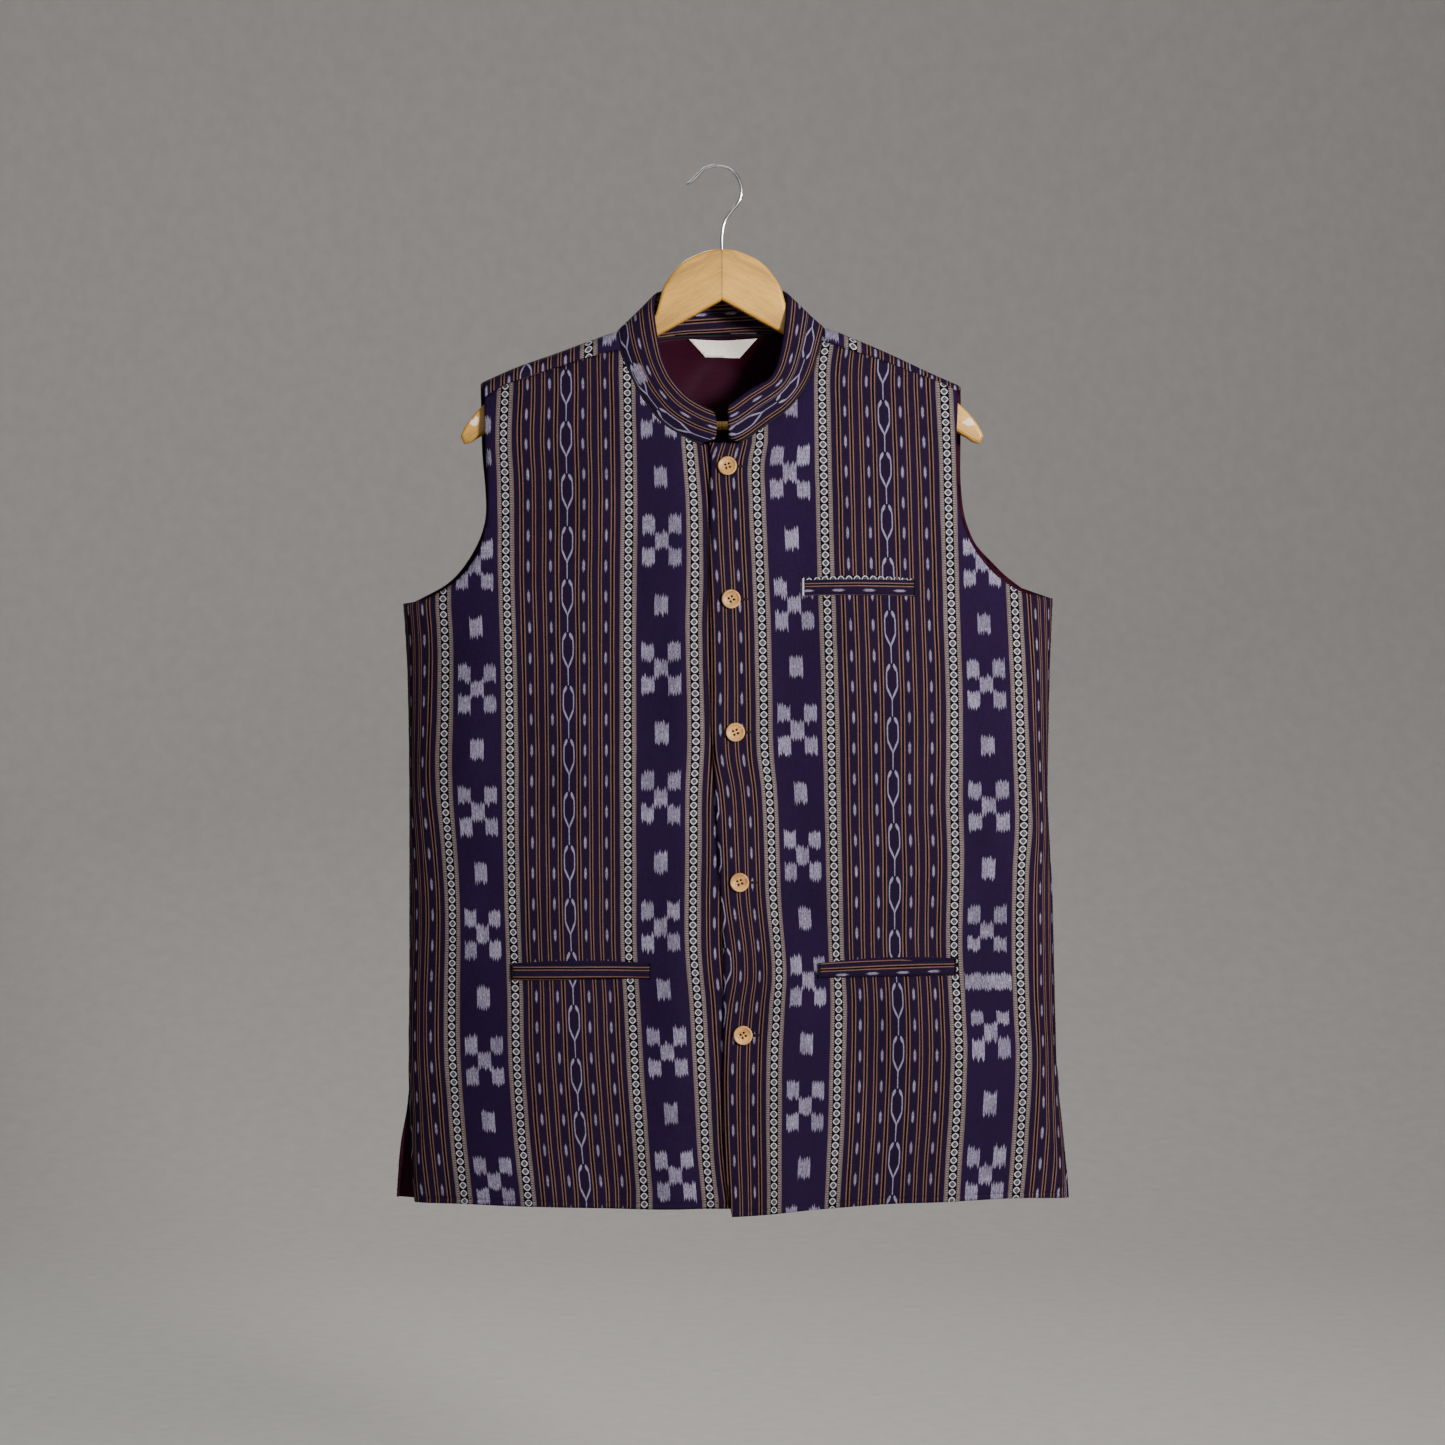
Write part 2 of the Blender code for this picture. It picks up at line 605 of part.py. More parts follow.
# the button's section: radius, height over its back
BUTTON_SECTION = [(5.2, 0.0), (7.2, 0.7), (8.0, 1.7), (7.85, 2.6), (7.1, 3.2), (6.2, 2.9), (5.5, 2.3)]


def button_mesh():
    """Points and faces of one button, with four holes through a sunk middle. Height runs along -Y."""
    sides = 20
    points = []
    faces = []
    for radius, high in BUTTON_SECTION:
        points += [Vector((x, -high, z)) for x, z in ring(sides, radius)]
    rows = len(BUTTON_SECTION)
    for r in range(rows - 1):
        for k in range(sides):
            a = r * sides + k
            b = r * sides + (k + 1) % sides
            faces.append((a, b, b + sides, a + sides))
    holes = []
    for turn in range(4):
        angle = math.radians(35 + 90 * turn)
        middle = Vector((HOLE_OUT * math.cos(angle), HOLE_OUT * math.sin(angle)))
        holes.append([middle + Vector(p) for p in ring(6, HOLE_R)])
    for first, high, flip in ((0, 0.0, False), ((rows - 1) * sides, BUTTON_SECTION[-1][1], True)):
        rim = [Vector((points[first + k].x, points[first + k].z)) for k in range(sides)]
        flat = rim + [p for hole in holes for p in hole]
        edges = [(k, (k + 1) % sides) for k in range(sides)]
        for h in range(4):
            base = sides + 6 * h
            edges += [(base + k, base + (k + 1) % 6) for k in range(6)]
        made = geometry.delaunay_2d_cdt(flat, edges, [], 1, 1e-5)
        start = len(points)
        points += [Vector((p.x, -high, p.y)) for p in flat[sides:]]
        names = [first + ids[0] if ids[0] < sides else start + ids[0] - sides for ids in made[3]]
        for face in made[2]:
            middle = sum((made[0][i] for i in face), Vector((0, 0))) / 3
            if any((middle - sum(hole, Vector((0, 0))) / 6).length < HOLE_R * 0.8 for hole in holes):
                continue
            corner = [names[i] for i in face]
            faces.append(tuple(reversed(corner)) if flip else tuple(corner))
    low = rows * sides
    top = low + 24
    for h in range(4):
        for k in range(6):
            a = low + 6 * h + k
            b = low + 6 * h + (k + 1) % 6
            faces.append((b, a, a + top - low, b + top - low))
    return points, faces


def build_buttons():
    points, faces = button_mesh()
    for number, (x, drop) in enumerate(BUTTONS, 1):
        at = over_point(x, drop)
        normal = -normal_at(over_point, x, drop)
        turn = Vector((0, -1, 0)).rotation_difference(normal).to_matrix()
        moved = [turn @ p + at + normal * 0.5 for p in points]
        face_out(new_object(f"button_{number}", moved, faces))


def build_label():
    def label_point(x, drop):
        return back_point(x, back_w(x, drop))

    corners = [(-26.0, 141.0), (35.0, 140.8), (20.6, 156.4), (-12.0, 155.6)]
    sides = [[corners[k], corners[(k + 1) % 4]] for k in range(4)]
    sheet("neck_label", outline_of(sides, 9), label_point, 1, 0.5, (9, 7), label_lift)


SHANK_X = 3.8
BOARD_HALF = 6.5
RIM = 3.6
# the hanger's board from the shank: x out, drop of the upper edge; then the lower edge
BOARD_UPPER = [(0, 69.5), (12, 70.6), (29.5, 78), (39, 86), (46.5, 96), (50.5, 103.5), (53.2, 113), (56.5, 124.5),
               (61, 130.2), (67, 134.3), (76, 141.5), (88, 148), (104, 153.5), (136, 163.5), (170, 178),
               (202, 201.5), (216, 217), (222, 228)]
BOARD_LOWER = [(219, 234.6), (213, 233.0), (202, 226), (150, 196.3), (100, 168.3), (53.5, 142.3), (0, 112.5)]
BAR_DROP = 219.2
BAR_R = 3.9


def tube(name, path, radius, sides, keep=None):
    """A round bar swept along a path in millimetres, its ends closed and a little rounded."""
    points = []
    side = Vector((0, 1, 0))
    ends = len(path) - 1
    for k, p in enumerate(path):
        ahead = (path[min(k + 1, ends)] - path[max(k - 1, 0)]).normalized()
        across = side.cross(ahead).normalized()
        other = ahead.cross(across)
        scale = 0.7 if k in (0, ends) else 1.0
        for a, b in ring(sides, radius * scale):
            points.append(p + across * a + other * b)
    faces = []
    for k in range(ends):
        for i in range(sides):
            a = k * sides + i
            b = k * sides + (i + 1) % sides
            faces.append((a, b, b + sides, a + sides))
    faces.append(tuple(reversed(range(sides))))
    faces.append(tuple(range(ends * sides, (ends + 1) * sides)))
    made = new_object(name, points, faces)
    face_out(made)
    return made


def board_half(sign, loop):
    return [(SHANK_X + sign * x, d) for x, d in loop]


def inset_loop(loop, gap):
    """A closed outline moved in by a gap, corner by corner."""
    found = []
    for k, p in enumerate(loop):
        a = Vector(loop[k - 1])
        b = Vector(p)
        c = Vector(loop[(k + 1) % len(loop)])
        first = Vector(((b - a).y, (a - b).x)).normalized()
        second = Vector(((c - b).y, (b - c).x)).normalized()
        mid = (first + second).normalized()
        found.append(b + mid * gap / max(mid.dot(first), 0.6))
    return found


def cutter(name, path, radius):
    made = tube(name, path, radius, 16)
    made.hide_render = True
    made.hide_viewport = True
    return made


def build_hanger():
    upper = curve_through(board_half(-1, list(reversed(BOARD_UPPER))), 14)[:-1]
    upper += curve_through(board_half(1, BOARD_UPPER), 14)
    lower = curve_through([board_half(1, [p])[0] for p in BOARD_LOWER], 24)
    lower += list(reversed(curve_through([board_half(-1, [p])[0] for p in BOARD_LOWER], 24)))[1:]
    loop = [Vector(p) for p in upper + lower]
    layers = [(RIM, -BOARD_HALF), (RIM * 0.3, RIM * 0.3 - BOARD_HALF), (0.0, RIM - BOARD_HALF),
              (0.0, BOARD_HALF - RIM), (RIM * 0.3, BOARD_HALF - RIM * 0.3), (RIM, BOARD_HALF)]
    points = []
    for gap, y in layers:
        points += [Vector((p.x, y, -p.y)) for p in inset_loop(loop, -gap)]
    n = len(loop)
    faces = []
    for r in range(len(layers) - 1):
        for k in range(n):
            a = r * n + k
            b = r * n + (k + 1) % n
            faces.append((b, a, a + n, b + n))
    for r, flip in ((0, False), (len(layers) - 1, True)):
        flat = [Vector((points[r * n + k].x, points[r * n + k].z)) for k in range(n)]
        made = geometry.delaunay_2d_cdt(flat, [(k, (k + 1) % n) for k in range(n)], [], 1, 1e-6)
        for face in made[2]:
            corner = [r * n + made[3][i][0] for i in face]
            faces.append(tuple(reversed(corner)) if flip else tuple(corner))
    board = new_object("hanger_wood", points, faces)
    face_out(board)
    tools = [
        cutter("cut_shank", [Vector((SHANK_X, 0, -60)), Vector((SHANK_X, 0, -80)), Vector((SHANK_X, 0, -96))], 1.8),
        cutter("cut_bar", [Vector((x, 0, -BAR_DROP)) for x in (-188.2, -100, 0, 100, 195.8)], BAR_R + SEAM),
    ]
    for tool in tools:
        cut = board.modifiers.new(tool.name, "BOOLEAN")
        cut.operation = "DIFFERENCE"
        cut.solver = "EXACT"
        cut.object = tool
    tube("hanger_bar", [Vector((x, 0, -BAR_DROP)) for x in (-187.6, -100, 0, 100, 195.2)], BAR_R, 14)
    hook = [(-26.2, 14.4), (-22.6, 12.0), (-19.0, 8.9), (-12.3, 1.6), (-4.7, -1.2), (2.1, -1.7), (10.6, 1.0),
            (17.4, 8.1), (20.3, 18.3), (18.3, 28.5), (11.7, 37.0), (6.2, 45.5), (4.0, 56.5), (3.8, 68.4), (3.8, 94.0)]
    path = [Vector((x, 0, -d)) for x, d in (tuple(p) for p in curve_through(hook, 5))]
    tube("hanger_hook", path, 1.45, 10)


build_fronts()
build_back()
build_lining()
build_collar()
build_welts()
build_buttons()
build_label()
build_hanger()
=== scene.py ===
"""A sleeveless stand-collar jacket in ikat stripe cloth, hung on a wooden hanger.

The tables are in millimetres, heights as a drop below the hook's inner crown. Each cloth piece is cut flat
from its own outline and then laid on the hung surface, the same one that the solids follow.
"""

import math

import bmesh
import bpy
from bpy.props import FloatProperty, FloatVectorProperty, PointerProperty
from mathutils import Matrix, Vector, kdtree, noise


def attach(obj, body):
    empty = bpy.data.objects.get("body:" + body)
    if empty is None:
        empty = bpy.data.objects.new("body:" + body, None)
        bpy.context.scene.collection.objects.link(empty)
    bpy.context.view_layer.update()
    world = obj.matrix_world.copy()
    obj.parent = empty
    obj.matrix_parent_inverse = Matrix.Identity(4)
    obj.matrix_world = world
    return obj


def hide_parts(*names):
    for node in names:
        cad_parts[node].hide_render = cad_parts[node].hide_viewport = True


bl_info = {
    "name": "Ikat Nehru Jacket",
    "version": (1, 0, 0),
    "blender": (4, 5, 0),
    "location": "View3D > Sidebar > Jacket",
    "description": "Builds a striped stand-collar jacket on its hanger, piece by piece",
    "category": "Object",
}

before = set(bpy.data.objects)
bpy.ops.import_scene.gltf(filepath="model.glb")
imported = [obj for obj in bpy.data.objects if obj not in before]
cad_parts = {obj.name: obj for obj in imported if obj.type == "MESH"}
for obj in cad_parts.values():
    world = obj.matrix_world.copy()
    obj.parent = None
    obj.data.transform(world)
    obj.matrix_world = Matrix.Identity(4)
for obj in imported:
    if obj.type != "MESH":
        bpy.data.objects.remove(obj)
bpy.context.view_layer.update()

MM = 0.001
# how far a seam's two edges stay apart
SEAM_GAP = 0.3
# the middle of the body, and of the neck at the back
CENTRE = 9.0
NECK_X = 2.6
# the shoulder line's roll, and how far the chest and the back swell from it
RIDGE_R = 9.0
QUARTER = RIDGE_R * math.pi / 2
FRONT_DEPTH = 37.0
FRONT_SWELL = 230.0
BACK_DEPTH = 33.0
BACK_SWELL = 200.0
# under the neck the back swells sooner: how much, and over what half width
NECK_SWELL = 158.0
NECK_WIDE = 62.0
# the under front steps back by the lap, from this x over this width
UNDER_LAP = 3.2
LAP_X = -36.0
LAP_WIDE = 26.0
VENT_TOP = 792.0
VENT_HIGH = 84.0
FRONT_FLARE = 8.0
BACK_FLARE = 6.0
WALL = 2.0
# a fold starts this share of its length before its top
FOLD_LEAD = 0.15

# the camera that took the jacket: metres from its middle plane, and the picture's middle in millimetres
CAMERA_AWAY = 3.0
PICTURE_X = 4.25
PICTURE_DROP = 471.3
MM_A_PIXEL = 0.85
HALF_PICTURE = 722.5

# shoulder line seen from the front: x, drop
RIDGE = [(-260, 206), (-230, 195), (-201.2, 182.6), (-170, 169), (-138.7, 158), (-110, 147.4),
         (-80.6, 137.1), (-40, 126.5), (5, 122.5), (50, 125.8), (92.2, 136), (119, 146.3),
         (149.9, 159.7), (180.6, 174.1), (206.5, 185.5), (235, 198), (260, 209)]
# side seams and, below the vents, the edges of the fronts and of the back: drop, x
SIDE_LEFT = [(300, -268), (370, -267.8), (410, -265), (665, -262.5), (785, -263), (840, -260.5), (900, -257)]
SIDE_RIGHT = [(300, 285.6), (366, 285.6), (400, 284), (500, 281.6), (540, 281.4), (610, 285),
              (690, 287), (770, 289), (812, 294), (900, 298)]
BACK_LEFT = [(300, -268), (370, -267.8), (410, -265), (665, -262.5), (785, -263), (812, -267.5),
             (840, -271.5), (900, -275.5)]
BACK_RIGHT = [(300, 285.6), (366, 285.6), (400, 284), (500, 281.6), (540, 281.4), (610, 285),
              (690, 287), (770, 289), (812, 290), (900, 291)]
# soft folds: x and drop at the top, x and drop at the bottom, half width, rise (under 0 is a trough)
FRONT_FOLDS = [
    (-196, 320, -238, 700, 26, 3.0),
    (-232, 420, -222, 900, 20, -3.5),
    (-178, 250, -150, 560, 24, -2.5),
    (-120, 560, -176, 900, 28, 3.0),
    (-84, 210, -60, 480, 22, -2.0),
    (-70, 640, -92, 900, 24, -3.0),
    (-20, 320, -34, 800, 18, 2.2),
    (52, 300, 66, 640, 22, -2.6),
    (60, 680, 46, 900, 24, 3.2),
    (104, 220, 128, 520, 26, 2.4),
    (120, 700, 150, 900, 26, -3.4),
    (196, 300, 206, 600, 24, -3.0),
    (206, 600, 190, 900, 26, 3.4),
    (250, 390, 248, 720, 18, 2.6),
    (262, 700, 274, 900, 16, -3.0),
]
BACK_FOLDS = [
    (-160, 240, -210, 640, 30, 3.0),
    (-190, 560, -150, 900, 26, -3.6),
    (-70, 200, -96, 620, 30, -2.6),
    (-60, 520, -40, 900, 28, 3.4),
    (30, 240, 18, 700, 26, 2.4),
    (96, 420, 120, 900, 30, -3.4),
    (150, 230, 196, 640, 30, 2.8),
    (228, 520, 210, 900, 24, 3.2),
]
NECK_LEFT = [(-81.7, 155.9), (-75.0, 172.9), (-67.1, 189.7), (-59.0, 202.8), (-45.0, 219.0),
             (-32.1, 228.6), (-18.8, 234.2), (-6.7, 238.0)]
NECK_RIGHT = [(87.5, 147.4), (83.3, 162.9), (77.2, 180.3), (68.7, 195.0), (58.5, 207.1),
              (44.2, 217.6), (31.0, 228.0), (20.6, 234.6), (14.7, 236.3)]
SEAM_LEFT = [(-197.9, 196.6), (-183.3, 186.4), (-165.8, 180.1), (-148.6, 174.2), (-131.6, 169.1),
             (-113.8, 163.1), (-96.9, 158.6), (-81.7, 155.9)]
SEAM_RIGHT = [(203.2, 190.2), (186.5, 181.6), (159.7, 172.0), (139.1, 164.4), (116.4, 156.8),
              (100.1, 151.9), (87.5, 147.4)]
ARM_LEFT = [(-197.9, 196.6), (-196.7, 223.6), (-195.5, 251.8), (-194.2, 282.0), (-195.2, 300.0),
            (-199.3, 321.0), (-208.0, 338.1), (-222.0, 353.0), (-246.4, 366.6), (-267.8, 370.4)]
ARM_RIGHT = [(203.2, 190.2), (203.6, 204.0), (202.4, 226.0), (202.0, 253.9), (202.8, 274.6), (204.8, 295.2),
             (209.9, 311.5), (218.5, 327.8), (229.5, 341.5), (242.9, 353.0), (260.0, 361.6), (285.6, 366.0)]
BACK_ARM_LEFT = [(-201.3, 240.0), (-199.0, 270.0), (-198.6, 292.0), (-202.0, 308.5), (-208.8, 324.0),
                 (-219.5, 340.5), (-232.0, 353.0), (-250.0, 363.5), (-267.8, 370.4)]
BACK_ARM_RIGHT = [(207.8, 235.0), (208.0, 262.0), (210.5, 288.0), (215.0, 305.0), (222.1, 319.6),
                  (233.4, 332.1), (246.5, 345.5), (262.0, 357.0), (285.6, 366.0)]
HEM_LEFT = [(-257.0, 877.4), (-216.9, 877.2), (-159.9, 877.8), (-117.7, 878.5), (-55.6, 879.3),
            (-13.7, 879.0), (36.0, 878.6)]
HEM_RIGHT = [(12.2, 885.4), (36.1, 883.7), (76.7, 879.9), (127.6, 876.3), (168.3, 874.6),
             (209.5, 873.3), (251.1, 872.3), (297.9, 873.8)]
EDGE_OVER = [(-6.5, 236.0), (-6.0, 259.2), (-6.5, 287.9), (-6.5, 355.0), (-5.4, 436.2), (-4.7, 477.2),
             (-2.4, 517.4), (-0.4, 558.0), (1.5, 598.5), (3.2, 622.8), (4.7, 663.8), (5.3, 704.0),
             (4.7, 745.0), (4.2, 785.2), (5.4, 825.9), (9.0, 866.4), (12.2, 885.4)]
EDGE_UNDER = [(23.8, 240.5), (26.0, 300.0), (28.0, 440.0), (31.0, 600.0), (34.0, 760.0), (36.0, 878.6)]
BACK_HEM = 875.0
# the height of the armholes' foot at each side
ARM_FOOT_LEFT = 370.4
ARM_FOOT_RIGHT = 366.0
NECK_MIDDLE = (NECK_X, 150.0)
# the collar, from its right front end round the back to the left: foot x, foot drop, top x, top drop, top y.
# A foot drop under BACK_FOOT is a length on the back's pattern.
BACK_FOOT = 60.0
COLLAR = [
    (8.6, 239.0, 8.2, 204.5, -36.6),
    (22.5, 233.4, 12.5, 202.4, -36.0),
    (44.2, 217.6, 24.5, 193.2, -33.0),
    (58.5, 207.1, 35.0, 186.4, -30.5),
    (68.7, 195.0, 43.8, 180.8, -27.5),
    (77.2, 180.3, 50.0, 169.5, -24.0),
    (83.3, 162.9, 54.0, 153.5, -18.5),
    (87.5, 147.4, 56.6, 137.0, -14.5),
    (90.6, -4.0, 58.4, 118.5, -8.0),
    (90.0, 6.0, 58.6, 105.5, 1.0),
    (82.0, 14.5, 53.0, 102.0, 14.0),
    (62.0, 19.3, 43.0, 99.6, 24.0),
    (34.0, 21.4, 24.0, 98.2, 33.5),
    (2.6, 22.0, 2.6, 97.6, 38.0),
    (-29.0, 21.4, -19.0, 98.2, 34.0),
    (-57.0, 19.3, -38.0, 99.6, 24.5),
    (-77.0, 14.5, -48.5, 102.4, 14.5),
    (-84.6, 6.0, -53.4, 107.0, 1.5),
    (-85.2, -4.0, -54.0, 119.0, -7.5),
    (-81.7, 155.9, -51.4, 140.0, -15.5),
    (-75.0, 172.9, -47.6, 160.0, -20.5),
    (-67.1, 189.7, -42.0, 175.0, -25.5),
    (-59.0, 202.8, -35.0, 186.0, -29.0),
    (-45.0, 219.0, -24.5, 197.2, -32.0),
    (-24.0, 232.3, -11.0, 205.6, -34.6),
    (-0.6, 240.5, -0.6, 210.0, -35.4),
]
COLLAR_HIGH = 36.0
COLLAR_BOW = 1.2
BUTTONS = [(8.4, 256.4), (11.4, 368.0), (15.0, 479.5), (18.5, 605.1), (21.5, 733.0)]
SHANK_X = 3.8
BOARD_HALF = 6.5
BOARD_UPPER = [(0, 69.5), (12, 70.6), (29.5, 78), (39, 86), (46.5, 96), (50.5, 103.5), (53.2, 113),
               (56.5, 124.5), (61, 130.2), (67, 134.3), (76, 141.5), (88, 148), (104, 153.5),
               (136, 163.5), (170, 178), (202, 201.5), (216, 217), (222, 228)]
BOARD_LOWER = [(219, 234.6), (213, 233.0), (202, 226), (150, 196.3), (100, 168.3), (53.5, 142.3), (0, 112.5)]
BAR_DROP = 219.2
BAR_R = 3.9
BAR_LONG = 382.6
HOOK = [(-26.2, 14.4), (-22.6, 12.0), (-19.0, 8.9), (-12.3, 1.6), (-4.7, -1.2), (2.1, -1.7), (10.6, 1.0),
        (17.4, 8.1), (20.3, 18.3), (18.3, 28.5), (11.7, 37.0), (6.2, 45.5), (4.0, 56.5), (3.8, 68.4),
        (3.8, 94.0)]

# Where the woven strips of ring diamonds lie on each front, by the pixel heights that they were charted at:
# distance from the chain stripe in the cloth, then (pixel height, pixel across).
STRIPS_RIGHT_FRONT = [
    (-104.8, [(606, 443), (640, 445), (700, 445), (780, 443.6), (850, 449), (900, 452), (1050, 452),
              (1100, 455), (1150, 459), (1200, 464.5)]),
    (-49.6, [(390, 505), (440, 503), (480, 505), (575, 506), (640, 508), (735, 510), (880, 511.5), (985, 515),
             (1060, 516.6), (1100, 519), (1140, 522), (1205, 529)]),
    (49.6, [(370, 627), (463, 629), (524, 629), (585, 628), (880, 628), (950, 628.5), (990, 631), (1070, 635),
            (1110, 638), (1150, 641), (1190, 644)]),
    (104.8, [(442, 689), (463, 691), (504, 694), (544, 695), (583, 695), (629, 694), (743, 696), (790, 694),
             (858, 693.5), (949, 693.5), (1006, 698), (1087, 702.5), (1155, 706), (1201, 710.6)]),
]
STRIPS_LEFT_FRONT = [
    (-104.8, [(441, 760), (465, 756), (502, 757), (550, 759), (620, 762), (681, 763.5), (754, 765),
              (790, 769), (860, 772), (894, 773), (977, 779), (1006, 777), (1050, 774.6), (1209, 774)]),
    (-49.6, [(343, 826), (368, 822.4), (417, 822.4), (490, 824), (572, 826), (657, 829), (730, 831),
             (827, 833), (894, 834.5), (953, 836), (1001, 838.6), (1062, 837.7), (1134, 835.7),
             (1205, 832)]),
    (49.6, [(385, 943.6), (450, 947), (538, 949.6), (620, 952), (705, 954.5), (754, 954.5), (802, 954),
            (863, 955.7), (948, 954), (1001, 957), (1050, 959), (1110, 957), (1171, 953), (1202, 951.6)]),
    (104.8, [(591, 1014), (628, 1016), (681, 1018.7), (742, 1021), (800, 1023.5), (827, 1024), (875, 1021),
             (948, 1020), (1013, 1022), (1050, 1024), (1098, 1022.8), (1159, 1019), (1197, 1016)]),
]
# Pixel heights of the ikat fives on each plain band, and the cloth's own height there: one repeat is 106 mm.
REPEAT_V = 106.0
REPEAT_U = 154.4
FIVES_RIGHT_FRONT = [
    [(565, 0), (688.6, 1), (811.4, 2), (934, 3), (1061, 4), (1181, 5)],
    [(540.4, 0), (668.4, 1), (797.6, 2), (927, 3), (1052, 4), (1176, 5)],
]
FIVES_LEFT_FRONT = [
    [(472, 0), (604.8, 1), (729.7, 2), (855.7, 3), (980.6, 4), (1105.9, 5)],
    [(684.3, 0), (806, 1), (931, 2), (981.8, 2.5), (1030, 3), (1104, 3.5), (1174.5, 4)],
]
# one bar on the left front is dyed across its whole band: its pixel height, half height and squeeze
WIDE_BAR = 981.8
WIDE_BAR_HALF = 16.0
WIDE_BAR_SQUEEZE = 0.72
# the cloth's stripes, measured from the middle of a chain stripe
PAIRED_LINES = (8.0, 18.45, 26.6, 36.6)
STRIP_U = 49.6
RING_PITCH = 6.68
RING_R = 3.12
RING_POWER = 1.5
RING_HALF_STRIP = 3.5
# from a chain stripe's middle: where the ribs, the black ground, the ribs again and the plain band start
STRIP_EDGES = (42.6, 46.0, 53.2, 56.6)
RIB_U = 5.3
RIB_HALF = 1.76
RIB_PITCH = 1.45
LINE_HALF = 1.7
GAP_HALF = 0.8
DASH_COLUMNS = (13.4, 31.5)
DASH_PITCH = 25.8
DASH_START = 8.0
CHAIN_PITCH = 44.6
CHAIN_HALF = 4.45
# how far the spindles and the chain shift from one repeat of the cloth to the next
DASH_SHIFT = 10.2
CHAIN_SHIFT = 15.0
# where the ikat columns lie from the plain band's middle, and their half widths
MIDDLE_HALF = 5.6
SIDE_U = 11.0
SIDE_HALF = 5.3
# the dye's edge is a row of points this wide, each made of finer ones
POINT_WIDE = 2.1
FINE_POINT = 0.55
# the dye's rows: height in one repeat, column (0 the middle, 1 the sides), half height
IKAT_ROWS = [(0.0, 0, 6.9), (REPEAT_V, 0, 6.9), (13.6, 1, 6.7), (REPEAT_V - 13.4, 1, 6.7),
             (REPEAT_V / 2, 0, 8.0)]
# a height in the dye's map that no panel reaches: the collar's one block has it
COLLAR_DYE = 100 * REPEAT_V


def smooth(t):
    t = min(max(t, 0.0), 1.0)
    return t * t * (3 - 2 * t)


def along(table, x):
    """Value of a table at x, by a cubic that keeps the slopes of its neighbours."""
    x = min(max(x, table[0][0]), table[-1][0])
    k = 0
    while k < len(table) - 2 and table[k + 1][0] < x:
        k += 1
    x0, y0 = table[k]
    x1, y1 = table[k + 1]
    chord = (y1 - y0) / (x1 - x0)
    before = (y0 - table[k - 1][1]) / (x0 - table[k - 1][0]) if k else chord
    after = (table[k + 2][1] - y1) / (table[k + 2][0] - x1) if k < len(table) - 2 else chord
    m0 = (before + chord) / 2
    m1 = (chord + after) / 2
    h = x1 - x0
    t = (x - x0) / h
    return (y0 * (1 + 2 * t) + m0 * h * t) * (1 - t) ** 2 + (y1 * (3 - 2 * t) - m1 * h * (1 - t)) * t * t


def straight(table, x):
    """Value of a table at x, straight between its rows and on past its ends."""
    k = 0
    while k < len(table) - 2 and table[k + 1][0] < x:
        k += 1
    x0, y0 = table[k]
    x1, y1 = table[k + 1]
    return y0 + (y1 - y0) * (x - x0) / (x1 - x0)


def out_to_side(x, drop, left, right):
    """0 at the middle of the body, 1 at the side seam."""
    side = along(left, drop) if x < CENTRE else along(right, drop)
    return min(abs((x - CENTRE) / (side - CENTRE)), 1.0)


def lens(t):
    return max(1 - t**2.2, 0.0) ** 0.667


def folded(folds, x, drop):
    total = 0.0
    for x0, d0, x1, d1, half, rise in folds:
        part = (drop - d0) / (d1 - d0)
        if -FOLD_LEAD < part < 1.0001:
            off = (x - x0 - (x1 - x0) * part) / half
            total += rise * math.exp(-off * off) * smooth((part + FOLD_LEAD) / 0.4)
    return total


def vent(drop):
    return smooth((drop - VENT_TOP) / VENT_HIGH)


def rounded_side(t):
    """Half the body's depth at the shoulder line, closed in a round edge at the side seam."""
    return RIDGE_R * (1 - t**8) ** 0.5


def chest(d, t):
    """How far the front stands out, a length d below the shoulder line."""
    s = min(d / FRONT_SWELL, 1.0)
    return FRONT_DEPTH * s * (2 - s) * lens(t)


def cloth_ripple(x, drop):
    """The cloth's own small unevenness, long down the piece and short across it, under a millimetre."""
    broad = noise.noise(Vector((x / 34, drop / 120, 3.1)))
    fine = noise.noise(Vector((x / 13, drop / 46, 7.7)))
    return 0.75 * broad + 0.28 * fine


def front_y(x, drop, lap=0.0):
    """Depth of the fronts' outer face. The under front steps back by the lap."""
    t = out_to_side(x, drop, SIDE_LEFT, SIDE_RIGHT)
    d = max(drop - along(RIDGE, x), 0.0)
    body = rounded_side(t) + chest(d, t)
    body += (folded(FRONT_FOLDS, x, drop) * smooth(d / 90) + cloth_ripple(x, drop) * smooth(d / 40)) * lens(t)
    return -body - FRONT_FLARE * vent(drop) * t**10 + lap * smooth((x - LAP_X) / LAP_WIDE)


def back_ramp(x, d):
    near_neck = math.exp(-(((x - NECK_X) / NECK_WIDE) ** 2))
    s = min(d / (BACK_SWELL - NECK_SWELL * near_neck), 1.0)
    return s * (2 - s)


